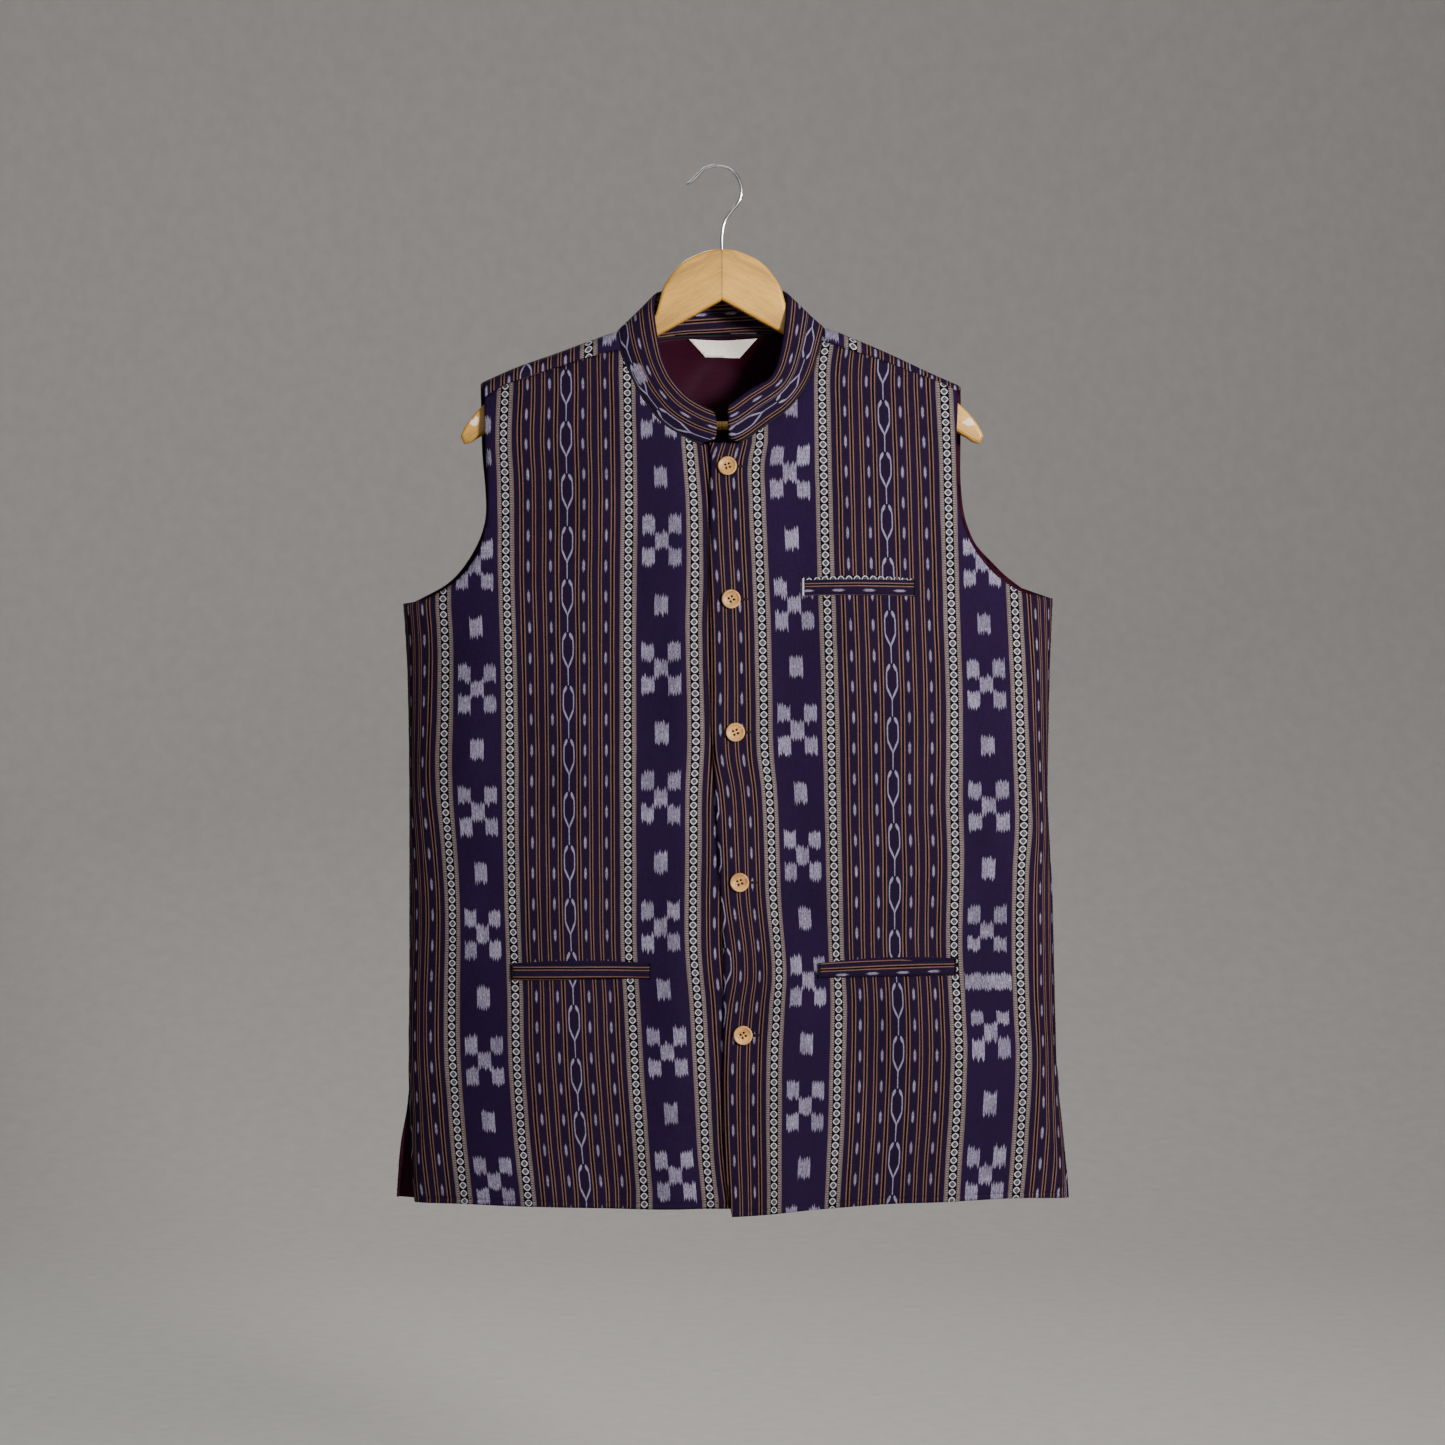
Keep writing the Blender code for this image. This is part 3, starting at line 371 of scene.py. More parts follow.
def back_point(x, w):
    """The back's pattern: w is the cloth's length from the shoulder line down, under 0 towards the front."""
    ridge = along(RIDGE, x)
    if w < -QUARTER:
        drop = ridge + RIDGE_R - w - QUARTER
        return Vector((x, front_y(x, drop), -drop))
    if w < QUARTER:
        t = out_to_side(x, ridge + RIDGE_R, BACK_LEFT, BACK_RIGHT)
        drop = ridge + RIDGE_R * (1 - math.cos(w / RIDGE_R))
        d = drop - ridge
        y = rounded_side(t) * math.sin(w / RIDGE_R)
        if w > 0:
            return Vector((x, y + BACK_DEPTH * back_ramp(x, d) * lens(t), -drop))
        return Vector((x, y - chest(d, t), -drop))
    drop = ridge + RIDGE_R + w - QUARTER
    t = out_to_side(x, drop, BACK_LEFT, BACK_RIGHT)
    y = rounded_side(t) + BACK_DEPTH * back_ramp(x, drop - ridge) * lens(t)
    y += folded(BACK_FOLDS, x, drop) * lens(t) * smooth((drop - ridge - 60) / 90)
    y += cloth_ripple(x + 500, drop) * lens(t) * smooth((drop - ridge - 20) / 60)
    return Vector((x, y + BACK_FLARE * vent(drop) * t**10, -drop))


def back_w(x, drop):
    """Pattern length of a point on the back or, with a drop under 0, in front of the shoulder line."""
    d = abs(drop) - along(RIDGE, x)
    if d < RIDGE_R:
        w = RIDGE_R * math.acos(1 - max(d, 0.0) / RIDGE_R)
    else:
        w = QUARTER + d - RIDGE_R
    return math.copysign(w, drop)


def over_point(x, drop):
    return Vector((x, front_y(x, drop), -drop))


def under_point(x, drop):
    return Vector((x, front_y(x, drop, UNDER_LAP), -drop))


def spline(a, b, c, d, t):
    """A point between b and c on the smooth curve through four points."""
    return 0.5 * (2 * b + (c - a) * t + (2 * a - 5 * b + 4 * c - d) * t * t + (3 * b - a - 3 * c + d) * t**3)


def curve_through(points, step):
    """Points about a step apart along a smooth curve through the given ones."""
    found = []
    for k in range(len(points) - 1):
        a = Vector(points[max(k - 1, 0)])
        b = Vector(points[k])
        c = Vector(points[k + 1])
        d = Vector(points[min(k + 2, len(points) - 1)])
        n = max(round((c - b).length / step), 1)
        found += [spline(a, b, c, d, i / n) for i in range(n)]
    found.append(Vector(points[-1]))
    return found


def outline_of(sides, step):
    """One closed outline from curves that follow each other."""
    loop = []
    for side in sides:
        loop += curve_through(side, step)[:-1]
    return loop


def grid_lines(low, high, step):
    n = max(round(abs(high - low) / step), 1)
    return [low + (high - low) * i / n for i in range(n + 1)]


def off_neck(points, gap, centre):
    """A neckline moved out from the collar by a gap."""
    found = []
    for k, p in enumerate(points):
        a = Vector(points[max(k - 1, 0)])
        b = Vector(points[min(k + 1, len(points) - 1)])
        side = Vector(((b - a).y, (a - b).x)).normalized()
        if side.dot(Vector(p) - Vector(centre)) < 0:
            side = -side
        found.append((p[0] + side.x * gap, p[1] + side.y * gap))
    return found


def normal_at(place, x, y):
    e = 0.4
    across = place(x + e, y) - place(x - e, y)
    down = place(x, y + e) - place(x, y - e)
    return across.cross(down).normalized()


def collar_foot(row):
    x, foot = row[0], row[1]
    if abs(foot) < BACK_FOOT:
        return back_point(x, foot)
    return under_point(x, foot) if x < 0 else over_point(x, foot)


def lengths_between(feet, tops):
    """Length of the collar's band from its first row to each one, half way up."""
    found = [0.0]
    for k in range(1, len(feet)):
        found.append(found[-1] + ((feet[k] - feet[k - 1]).length + (tops[k] - tops[k - 1]).length) / 2)
    return found


FEET = [collar_foot(row) for row in COLLAR]
TOPS = [Vector((row[2], row[4], -row[3])) for row in COLLAR]
LENGTHS = lengths_between(FEET, TOPS)
COLLAR_LONG = LENGTHS[-1]
# the collar's one dyed block: along the band, up from its foot
COLLAR_BLOCK = (368.0, 9.0)


def through(points, u):
    """A point on the smooth curve through the given ones, at u from 0 to their count less 1."""
    u = min(max(u, 0.0), len(points) - 1.0001)
    k = int(u)
    b = points[k]
    c = points[k + 1]
    a = points[k - 1] if k else b * 2 - c
    d = points[k + 2] if k + 2 < len(points) else c * 2 - b
    return spline(a, b, c, d, u - k)


def collar_point(s, v):
    """The collar's pattern: s runs along the band, v from its foot to its top."""
    s = min(max(s, 0.0), COLLAR_LONG)
    k = 0
    while k < len(LENGTHS) - 2 and LENGTHS[k + 1] < s:
        k += 1
    u = k + (s - LENGTHS[k]) / (LENGTHS[k + 1] - LENGTHS[k])
    foot = through(FEET, u)
    top = through(TOPS, u)
    part = v / COLLAR_HIGH
    bow = COLLAR_BOW * math.sin(math.pi * min(max(part, 0.0), 1.0))
    middle = (foot + top) / 2
    away = Vector((middle.x - NECK_X, middle.y, 0)).normalized()
    return foot.lerp(top, part) + away * bow


def pixel_of(point):
    """The picture's pixel, in its 1445 wide frame, that a point in millimetres falls on."""
    near = CAMERA_AWAY * 1000 / (CAMERA_AWAY * 1000 + point.y) / MM_A_PIXEL
    return HALF_PICTURE + (point.x - PICTURE_X) * near, HALF_PICTURE + (-point.z - PICTURE_DROP) * near


# past this depth the cloth turns to the side seam, and its stripes keep their width by this share of the turn
TURN_Y = 14.0
TURN_SHARE = 0.9


def front_cloth(strips, fives, slip):
    """How a front's cloth lies at a point: distance from the chain stripe, height, and ikat place."""

    def read(point, x, drop):
        px, py = pixel_of(point)
        places = []
        for across, table in strips:
            low, high = table[0][0], table[-1][0]
            places.append((along(table, min(max(py, low), high)), across))
        u = straight(places, px)
        # where the cloth turns back to the side seam, its stripes keep their true width
        if abs(u) > REPEAT_U / 2:
            u += math.copysign(TURN_SHARE * max(0.0, point.y + TURN_Y), u)
        band = fives[0] if u < 0 else fives[1]
        high = straight(band, py) * REPEAT_V
        b = u + REPEAT_U / 2 if u < 0 else u - REPEAT_U / 2
        if u > 0 and fives is FIVES_LEFT_FRONT:
            b *= 1 - WIDE_BAR_SQUEEZE * smooth((WIDE_BAR_HALF - abs(py - WIDE_BAR)) / 4)
        return u, drop + slip, b, high

    return read


# the height of each plain band's own dyeing on the back, from its middle stripe to the viewer's right
BACK_DYE = (21.6, 62.0, 48.0, 100.6)
BACK_CHAIN_X = 2.7
BACK_SLIP = 137.0
# the yoke is drawn in a little, by this share, where it passes over the shoulders
YOKE_SHARE = 0.936


def back_cloth(point, w):
    """The back is cut with a chain stripe down its middle."""
    u = (point.x - BACK_CHAIN_X) * (YOKE_SHARE + (1 - YOKE_SHARE) * smooth((w - 10) / 60))
    if w > 150 and abs(point.x) > 200:
        u += math.copysign(TURN_SHARE * max(0.0, TURN_Y - point.y), u)
    repeat = math.floor(u / REPEAT_U)
    return u, w + BACK_SLIP, u - (repeat + 0.5) * REPEAT_U, w + BACK_DYE[repeat % 4]


# the stripes at the collar's foot, at the viewer's right, and how far they have slipped at the left
COLLAR_FOOT_U = 11.6
COLLAR_SLIP = -5.6


def collar_cloth(s, v):
    """The collar's stripes run along the band, and its two halves are cut from different places."""
    u = COLLAR_FOOT_U + COLLAR_SLIP * smooth((s / COLLAR_LONG - 0.3) / 0.4) - v
    up = min(max(s - COLLAR_BLOCK[0], -30.0), 30.0)
    return u, s, v - COLLAR_BLOCK[1], COLLAR_DYE + REPEAT_V / 2 + up


# Cutting and laying cloth

# the hem's stitches lie this far up from its edge, and the mesh has a row this often there
HEM_STITCH = 4.7
HEM_ROW = 1.3
HEM_TOP = 864.0
# the cloth sinks along the hem's stitches and swells below them: how much, how far from the edge, how wide
HEM_SINK = (0.75, HEM_STITCH, 1.0)
HEM_SWELL = (0.35, 2.2, 1.3)
# distance between an outline's points, and between those of a rim that edges are measured from
OUTLINE_STEP = 4
RIM_STEP = 1.5
SIDE_STEP = 42


# the ruled lines miss the outlines' points by this much
OFF_POINTS = 0.013


def cut_flat(outline, step_x, step_y, hem_rows=()):
    """A flat piece of cloth with this outline, ruled into small quads, and finer between two hem heights."""
    work = bmesh.new()
    work.faces.new([work.verts.new((p[0], p[1], 0)) for p in outline])
    xs = [p[0] for p in outline]
    ys = [p[1] for p in outline]
    across, down = Vector((1, 0, 0)), Vector((0, 1, 0))
    lines = []
    for way, low, high, step in ((across, min(xs), max(xs), step_x), (down, min(ys), max(ys), step_y)):
        ruled = range(math.ceil(low / step), math.floor(high / step) + 1)
        lines += [(way, k * step + OFF_POINTS) for k in ruled]
    for way, place in lines + [(down, y) for y in hem_rows]:
        everything = work.verts[:] + work.edges[:] + work.faces[:]
        bmesh.ops.bisect_plane(work, geom=everything, dist=1e-4, plane_co=way * place, plane_no=way)
    return work


def hump(off, shape):
    height, middle, width = shape
    return height * math.exp(-(((off - middle) / width) ** 2))


def signed_area(outline):
    ring = list(outline) + [outline[0]]
    return sum(a[0] * b[1] - b[0] * a[1] for a, b in zip(ring, ring[1:])) / 2


def lay_cloth(name, outline, place, read, finishes, outward, wall, lift=0.0, steps=(4.0, 4.0),
              roll=(0.8, 3.0), hem=None, rim=0):
    """Cuts a piece of cloth, lays it on its surface and gives it a wall inwards.

    outward is 1 where across x along points out of the cloth's face. roll turns the edges in, as a sewn
    edge does: its depth, and how far from the edge it starts. hem is the height where the hem's rows start.
    finishes are for the outside and, where it differs, the inside. rim is the one that the cut edge has.
    """
    foot = max(p[1] for p in outline)
    rows = [hem + HEM_ROW * k for k in range(int((foot - hem) / HEM_ROW))] if hem else ()
    work = cut_flat(outline, *steps, rows)
    edge = curve_through(list(outline) + [outline[0]], RIM_STEP)
    near = kdtree.KDTree(len(edge))
    for k, p in enumerate(edge):
        near.insert((p[0], p[1], 0), k)
    near.balance()
    facts = {}
    work.verts.ensure_lookup_table()
    for vert in work.verts:
        x, y = vert.co.x, vert.co.y
        point = place(x, y)
        out = normal_at(place, x, y) * outward
        depth, reach = roll
        off = near.find((x, y, 0))[2]
        dip = depth * max(1 - off / reach, 0.0) ** 2
        if hem and y > hem:
            dip += hump(off, HEM_SINK) - hump(off, HEM_SWELL)
        raised = lift(x, y) if callable(lift) else lift
        facts[vert.index] = read(point, x, y)
        vert.co = (point + out * (raised - dip)) * MM
    cloth_uv = work.loops.layers.uv.new("cloth")
    ikat_uv = work.loops.layers.uv.new("ikat")
    for face in work.faces:
        for loop in face.loops:
            u, v, b, high = facts[loop.vert.index]
            loop[cloth_uv].uv = (u, v)
            loop[ikat_uv].uv = (b, high)
    if (signed_area(outline) > 0) != (outward > 0):
        bmesh.ops.reverse_faces(work, faces=work.faces[:])
    made = piece_from(work, name, *finishes)
    thick = made.modifiers.new("cloth wall", "SOLIDIFY")
    thick.thickness = wall * MM
    thick.offset = -1
    thick.material_offset = len(finishes) - 1
    thick.material_offset_rim = rim
    thick.use_rim = True
    return made


def piece_from(work, name, *finishes, flat_from=None):
    """Makes an object of the work, smooth but for the faces that have flat_from corners or more."""
    for face in work.faces:
        face.smooth = not flat_from or len(face.verts) < flat_from
    mesh = bpy.data.meshes.new(name)
    work.to_mesh(mesh)
    work.free()
    made = bpy.data.objects.new(name, mesh)
    bpy.context.scene.collection.objects.link(made)
    for kind in finishes:
        mesh.materials.append(finish(kind))
    return made


def sew_in(made, slot, *nodes):
    """Fixes a piece to the jacket's body, in place of the solids it stands for."""
    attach(made, "root")
    if nodes:
        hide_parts(*nodes)


def side_line(table, top, bottom, step):
    return [(along(table, d), d) for d in grid_lines(top, bottom, step)]


def front_outline(neck, free_edge, hem, side, arm, seam):
    """A front's outline. The hem's last point is at the side seam."""
    neck = off_neck(neck, SEAM_GAP, NECK_MIDDLE)
    side = side_line(side, hem[-1][1], arm[-1][1], SIDE_STEP)
    side[0] = hem[-1]
    side[-1] = arm[-1]
    shoulder = [arm[0]] + [(x, d + SEAM_GAP / 2) for x, d in seam[1:-1]] + [neck[0]]
    corner = [neck[-1], free_edge[0]]
    return outline_of([corner, free_edge, hem, side, arm[::-1], shoulder, neck], OUTLINE_STEP)


def on_back(points):
    return [(x, back_w(x, drop)) for x, drop in points]


def back_sides(inset, side_inset, top_left, top_right):
    """The back's armholes, sides and hem, drawn in by an inset, and its neck."""
    neck = [(x, d if abs(d) < BACK_FOOT else back_w(x, -d)) for x, d, *_ in COLLAR[7:20]]
    neck = off_neck(neck, SEAM_GAP + inset, (NECK_X, -30))
    hem_left = (along(BACK_LEFT, BACK_HEM) + inset, BACK_HEM - inset)
    hem_right = (along(BACK_RIGHT, BACK_HEM) - inset, BACK_HEM - inset)
    foot = BACK_HEM - inset
    right = [(x - side_inset(d), d) for x, d in side_line(BACK_RIGHT, ARM_FOOT_RIGHT, foot, SIDE_STEP)]
    left = [(x + side_inset(d), d) for x, d in side_line(BACK_LEFT, foot, ARM_FOOT_LEFT, SIDE_STEP)]
    right[-1] = hem_right
    left[0] = hem_left
    arm_left = [(x + inset, d + inset * 0.6) for x, d in BACK_ARM_LEFT]
    arm_right = [(x - inset, d + inset * 0.6) for x, d in BACK_ARM_RIGHT]
    arm_left[-1] = left[-1]
    arm_right[-1] = right[0]
    hem = [(hem_right[0] + (hem_left[0] - hem_right[0]) * i / 20, BACK_HEM - inset) for i in range(21)]
    return [
        top_right + on_back(arm_right),
        on_back(right),
        on_back(hem),
        on_back(left),
        (top_left + on_back(arm_left))[::-1],
    ], neck


def back_outline():
    tip_left = [(-197.9, back_w(-197.9, -196.3)), (-200.4, -9.0), (-201.6, 0.0), (-202.0, 9.0),
                (-201.8, 24.0)]
    tip_right = [(203.2, back_w(203.2, -189.9)), (205.8, -8.0), (206.9, 0.0), (207.4, 9.0), (207.6, 22.0)]
    sides, neck = back_sides(0.0, lambda drop: 0.0, tip_left, tip_right)
    seam_left = [(x, back_w(x, -drop) + SEAM_GAP / 2) for x, drop in SEAM_LEFT]
    seam_right = [(x, back_w(x, -drop) + SEAM_GAP / 2) for x, drop in SEAM_RIGHT]
    seam_left[0] = tip_left[0]
    seam_right[0] = tip_right[0]
    neck[0] = (neck[0][0], seam_right[-1][1])
    neck[-1] = (neck[-1][0], seam_left[-1][1])
    seam_left[-1] = neck[-1]
    seam_right[-1] = neck[0]
    sides += [seam_left, neck[::-1], seam_right[::-1]]
    return outline_of(sides, OUTLINE_STEP)


def lining_side(drop):
    """How far the lining stays off the side seam, and less so along the vent."""
    return 9.0 - 5.0 * smooth((drop - VENT_TOP - 12) / 40)


def lining_outline():
    sides, _ = back_sides(2.0, lining_side, [(-198.0, 20.0)], [(204.0, 20.0)])
    yoke = [(-198.0, 20.0), (-150.0, 20.0), (-100.0, 21.0), (-84.0, 22.5), (-62.0, 23.0), (-30.0, 23.6),
            (2.6, 24.0), (34.0, 23.6), (66.0, 23.0), (88.0, 22.5), (110.0, 21.0), (155.0, 20.0),
            (204.0, 20.0)]
    sides.append(yoke)
    return outline_of(sides, 6)


def lining_lift(x, w):
    """The lining hangs loose behind the back's wall, in slack of a millimetre or so."""
    return -(WALL + 0.4 + 1.1 * abs(noise.noise(Vector((x / 40, w / 90, 1.3)))))


# Materials


def srgb(text):
    """A colour from its hex digits, as the linear values that the shader wants."""
    found = []
    for k in (0, 2, 4):
        part = int(text[k:k + 2], 16) / 255
        found.append(part / 12.92 if part <= 0.04045 else ((part + 0.055) / 1.055) ** 2.4)
    return (*found, 1.0)


def painted(colour, share=1.0):
    """A property's colour as the shader wants it, darkened to a share of itself."""
    return (*(part * share for part in colour[:3]), 1.0)


def add(tree, kind, links=(), output=0, stops=None, **settings):
    """Adds a node with its settings, its inputs by number or name, and a ramp's stops. Gives one output."""
    made = tree.nodes.new("ShaderNode" + kind)
    for name, value in settings.items():
        setattr(made, name, value)
    if stops:
        ramp = made.color_ramp
        while len(ramp.elements) < len(stops):
            ramp.elements.new(1.0)
        for element, (place, colour) in zip(ramp.elements, stops):
            element.position = place
        for element, (place, colour) in zip(ramp.elements, stops):
            element.color = colour if isinstance(colour, tuple) else (colour, colour, colour, 1.0)
    for key, value in (links.items() if isinstance(links, dict) else enumerate(links)):
        if isinstance(value, bpy.types.NodeSocket):
            tree.links.new(value, made.inputs[key])
        elif value is not None:
            made.inputs[key].default_value = value
    return made.outputs[output]


def stretched_noise(tree, place, scale, detail, **more):
    """Noise read from a place that is multiplied by three scales first."""
    more = {key.capitalize(): value for key, value in more.items()}
    turned = add(tree, "Mapping", {0: place, "Scale": scale})
    return add(tree, "TexNoise", {"Vector": turned, "Scale": 1.0, "Detail": detail, **more})


def tinted(tree, below, shares):
    """A colour multiplied by a grey value."""
    return add(tree, "Mix", {0: 1.0, 6: below, 7: add(tree, "CombineXYZ", (shares, shares, shares))},
               output=2, data_type="RGBA", blend_type="MULTIPLY")


def surface(tree, shader, colour, strength, distance, height):
    """Gives a finish its colour and its bump, whose distance is in metres."""
    tree.links.new(colour, shader.inputs["Base Color"])
    bump = add(tree, "Bump", {"Strength": strength, "Distance": distance, "Height": height})
    tree.links.new(bump, shader.inputs["Normal"])


def new_finish(name, roughness, **sockets):
    """A material with its shader, ready for its colour and bump."""
    material = bpy.data.materials.new(name)
    material.use_nodes = True
    tree = material.node_tree
    tree.nodes.clear()
    shader = tree.nodes.new("ShaderNodeBsdfPrincipled")
    shader.inputs["Roughness"].default_value = roughness
    for key, value in sockets.items():
        shader.inputs[key.replace("_", " ")].default_value = value
    out = tree.nodes.new("ShaderNodeOutputMaterial")
    tree.links.new(shader.outputs[0], out.inputs[0])
    return material, tree, shader


# a ring diamond's paleness, from its middle out
RING_STOPS = [(0.0, 0.08), (0.2, 0.14), (0.42, 0.18), (0.5, 0.02), (0.6, 0.03), (0.7, 1.0), (0.91, 1.0),
              (0.99, 0.0)]
# along one link of the chain: how far apart its two lines are, and how thick each is
LINK_STOPS = [(0.0, 0.4), (0.05, 0.5), (0.12, 0.8), (0.17, 0.97), (0.42, 1.0), (0.5, 0.78), (0.6, 0.3),
              (0.67, 0.03), (0.7, 0.0)]
THICK_STOPS = [(0.0, 0.02), (0.03, 0.7), (0.07, 0.95), (0.11, 0.8), (0.15, 0.36), (0.43, 0.34), (0.5, 0.62),
               (0.6, 0.62), (0.66, 0.34), (0.9, 0.3), (0.99, 0.28), (1.0, 0.02)]


def ikat_cloth(name, slip=0.0):
    """Handloom cotton with warp ikat, yarns 0.5 mm apart: dull, a little fuzzy, its pale blocks feathered.

    The cloth map gives the distance from a chain stripe and the height in millimetres, and slip moves the
    stripes. The ikat map gives the distance from a plain band's middle and the height in that band's dyeing.
    """
    material, tree, shader = new_finish(name, 0.85)
    shader.inputs["Specular IOR Level"].default_value = 0.08

    def m(operation, a, b=None, c=None, clamp=False):
        return add(tree, "Math", (a, b, c), operation=operation, use_clamp=clamp)

    def fade(value, full, gone):
        return add(tree, "MapRange", {"Value": value, 1: full, 2: gone, 3: 1.0, 4: 0.0})

    def scaled(value, middle, factor):
        return m("MULTIPLY", m("SUBTRACT", value, middle), factor)

    def streaks(across, along_warp, detail, rough=0.6):
        return stretched_noise(tree, cloth, (across, along_warp, 1), detail, roughness=rough)

    def woven(part):
        return srgb(CLOTH_COLOURS[part])

    def dye_points(width, row_side, turn):
        seed = add(tree, "CombineXYZ", (m("FLOOR", m("DIVIDE", u_true, width)), row_side, turn))
        return add(tree, "TexWhiteNoise", (seed,), noise_dimensions="3D")

    def over(share, below, above):
        return add(tree, "Mix", {0: share, 6: below, 7: above}, output=2, data_type="RGBA")

    cloth = add(tree, "UVMap", uv_map="cloth")
    split = add(tree, "SeparateXYZ", (cloth,)).node
    u, v = split.outputs[0], split.outputs[1]
    split = add(tree, "SeparateXYZ", (add(tree, "UVMap", uv_map="ikat"),)).node
    b, high = split.outputs[0], split.outputs[1]
    # a slow wander of the warp, so that no stripe is ruled
    wander = scaled(streaks(0.11, 0.021, 1.0), 0.5, 0.9)
    u_true = m("ADD", m("ADD", u, slip), wander)
    repeat = m("FLOOR", m("ADD", m("DIVIDE", u_true, REPEAT_U), 0.5))
    from_chain = m("WRAP", u_true, REPEAT_U / 2, -REPEAT_U / 2)
    a = m("ABSOLUTE", from_chain)
    look = bpy.context.scene.jacket_look
    ground, band, line, block = (painted(value) for value in (look.ground, look.band, look.line, look.block))
    stops = [(0.0, ground)]
    for centre in PAIRED_LINES:
        stops += [(centre - LINE_HALF, line), (centre - GAP_HALF, woven("gap")),
                  (centre + GAP_HALF, line), (centre + LINE_HALF, ground)]
    stops += zip(STRIP_EDGES, (woven("rib"), woven("black"), woven("rib"), band))
    base = add(tree, "ValToRGB", (m("DIVIDE", a, REPEAT_U / 2),),
               stops=[(place / (REPEAT_U / 2), colour) for place, colour in stops])
    base.node.color_ramp.interpolation = "CONSTANT"

    yarn = streaks(1.25, 0.1, 3.0, 0.65)
    weft = streaks(0.12, 1.1, 2.0)
    fleck = streaks(1.9, 0.42, 2.0)
    cloudy = streaks(0.02, 0.012, 2.0)
    weave = m("ADD", scaled(yarn, 0.5, 1.1), scaled(weft, 0.5, 0.8))

    # weft ribs of the pale bands either side of the ring diamonds, brightest on their inner side
    rib_wave = m("SINE", m("MULTIPLY", v, 2 * math.pi / RIB_PITCH))
    ring_a = m("SUBTRACT", a, STRIP_U)
    on_rib = m("COMPARE", m("ABSOLUTE", ring_a), RIB_U, RIB_HALF)
    inner = fade(m("ABSOLUTE", m("SUBTRACT", m("ABSOLUTE", ring_a), 4.7)), 0.7, 1.5)
    rib_dark = m("MULTIPLY", on_rib, m("MULTIPLY", inner, scaled(rib_wave, -0.8, 0.42), clamp=True))
    rib_pale = m("MULTIPLY", on_rib, m("MULTIPLY", inner, scaled(rib_wave, 0.1, -0.8), clamp=True))

    # ring diamonds: rounded white rings on black, a grey grain in each
    ring_v = m("WRAP", m("ADD", v, m("MULTIPLY", wander, 1.2)), RING_PITCH, 0.0)
    ring_v = m("SUBTRACT", ring_v, RING_PITCH / 2)
    far = m("POWER", m("ADD", m("POWER", m("DIVIDE", m("ABSOLUTE", ring_v), RING_R * 0.96), RING_POWER),
                       m("POWER", m("DIVIDE", m("ABSOLUTE", ring_a), RING_R), RING_POWER)), 1 / RING_POWER)
    ring = add(tree, "ValToRGB", (far,), stops=RING_STOPS)
    speck = m("MULTIPLY", scaled(streaks(3.0, 3.0, 1.0), 0.5, 0.9), m("LESS_THAN", far, 0.5))
    ring = m("MULTIPLY", m("ADD", ring, speck, clamp=True), m("COMPARE", a, STRIP_U, RING_HALF_STRIP))

    # small spindles of dye in two columns each side of the chain
    shifted = m("ADD", m("SUBTRACT", v, DASH_START), m("MULTIPLY", repeat, DASH_SHIFT))
    dash_v = m("WRAP", shifted, DASH_PITCH / 2, -DASH_PITCH / 2)
    dash_v = m("ADD", m("ABSOLUTE", dash_v), scaled(fleck, 0.5, 6.0))
    wide = add(tree, "MapRange", {"Value": dash_v, 1: 3.0, 2: 6.2, 3: 1.35, 4: 0.0})
    dash = 0.0
    for centre in DASH_COLUMNS:
        from_edge = m("SUBTRACT", wide, m("ABSOLUTE", m("SUBTRACT", a, centre)))
        dash = m("MAXIMUM", dash, fade(from_edge, 0.8, 0.0))
    dash = m("MULTIPLY", dash, m("GREATER_THAN", wide, 0.02))

    # the chain: two petals, a long link that closes to a point, and a stem
    shifted = m("ADD", v, m("MULTIPLY", repeat, CHAIN_SHIFT))
    link = m("DIVIDE", m("WRAP", shifted, CHAIN_PITCH, 0.0), CHAIN_PITCH)
    half = add(tree, "ValToRGB", (link,), stops=LINK_STOPS)
    half.node.color_ramp.interpolation = "B_SPLINE"
    thick = add(tree, "ValToRGB", (link,), stops=THICK_STOPS)
    off_line = m("ABSOLUTE", m("SUBTRACT", a, m("MULTIPLY", half, CHAIN_HALF)))
    off_line = m("ADD", off_line, scaled(fleck, 0.5, 0.7))
    chain = fade(m("DIVIDE", off_line, m("MULTIPLY", thick, 1.5)), 0.45, 1.15)
    chain = m("MULTIPLY", m("MULTIPLY", chain, m("LESS_THAN", a, 6.2)), 0.92)

    # ikat blocks on the plain band: fives and singles, the dye's edge run into points of uneven length
    point = m("PINGPONG", u_true, POINT_WIDE / 2)
    place = m("WRAP", high, REPEAT_V, 0.0)
    turn = m("FLOOR", m("DIVIDE", high, REPEAT_V))
    across = m("ABSOLUTE", b)
    blocks = 0.0
    for row, column, tall in IKAT_ROWS:
        off_row = m("SUBTRACT", place, row)
        side = m("ADD", m("MULTIPLY", m("SIGN", off_row), 3.7), row)
        reach = m("ADD", scaled(dye_points(POINT_WIDE, side, turn), 0.5, 3.4),
                  scaled(dye_points(FINE_POINT, side, turn), 0.5, 1.8))
        reach = m("ADD", m("ADD", reach, m("MULTIPLY", point, 2.8)), tall - 1.5)
        inside = fade(m("SUBTRACT", m("ABSOLUTE", off_row), reach), -0.9, 0.7)
        seed = add(tree, "CombineXYZ", (m("ADD", m("SIGN", b), m("MULTIPLY", repeat, 5.0)), row, turn))
        strength = add(tree, "TexWhiteNoise", (seed,), noise_dimensions="3D")
        inside = m("MULTIPLY", inside, m("ADD", m("MULTIPLY", strength, 0.28), 0.72))
        on_column = m("COMPARE", across, SIDE_U, SIDE_HALF) if column else m("LESS_THAN", across, MIDDLE_HALF)
        blocks = m("MAXIMUM", blocks, m("MULTIPLY", inside, on_column))
    on_collar = m("GREATER_THAN", high, COLLAR_DYE - REPEAT_V)
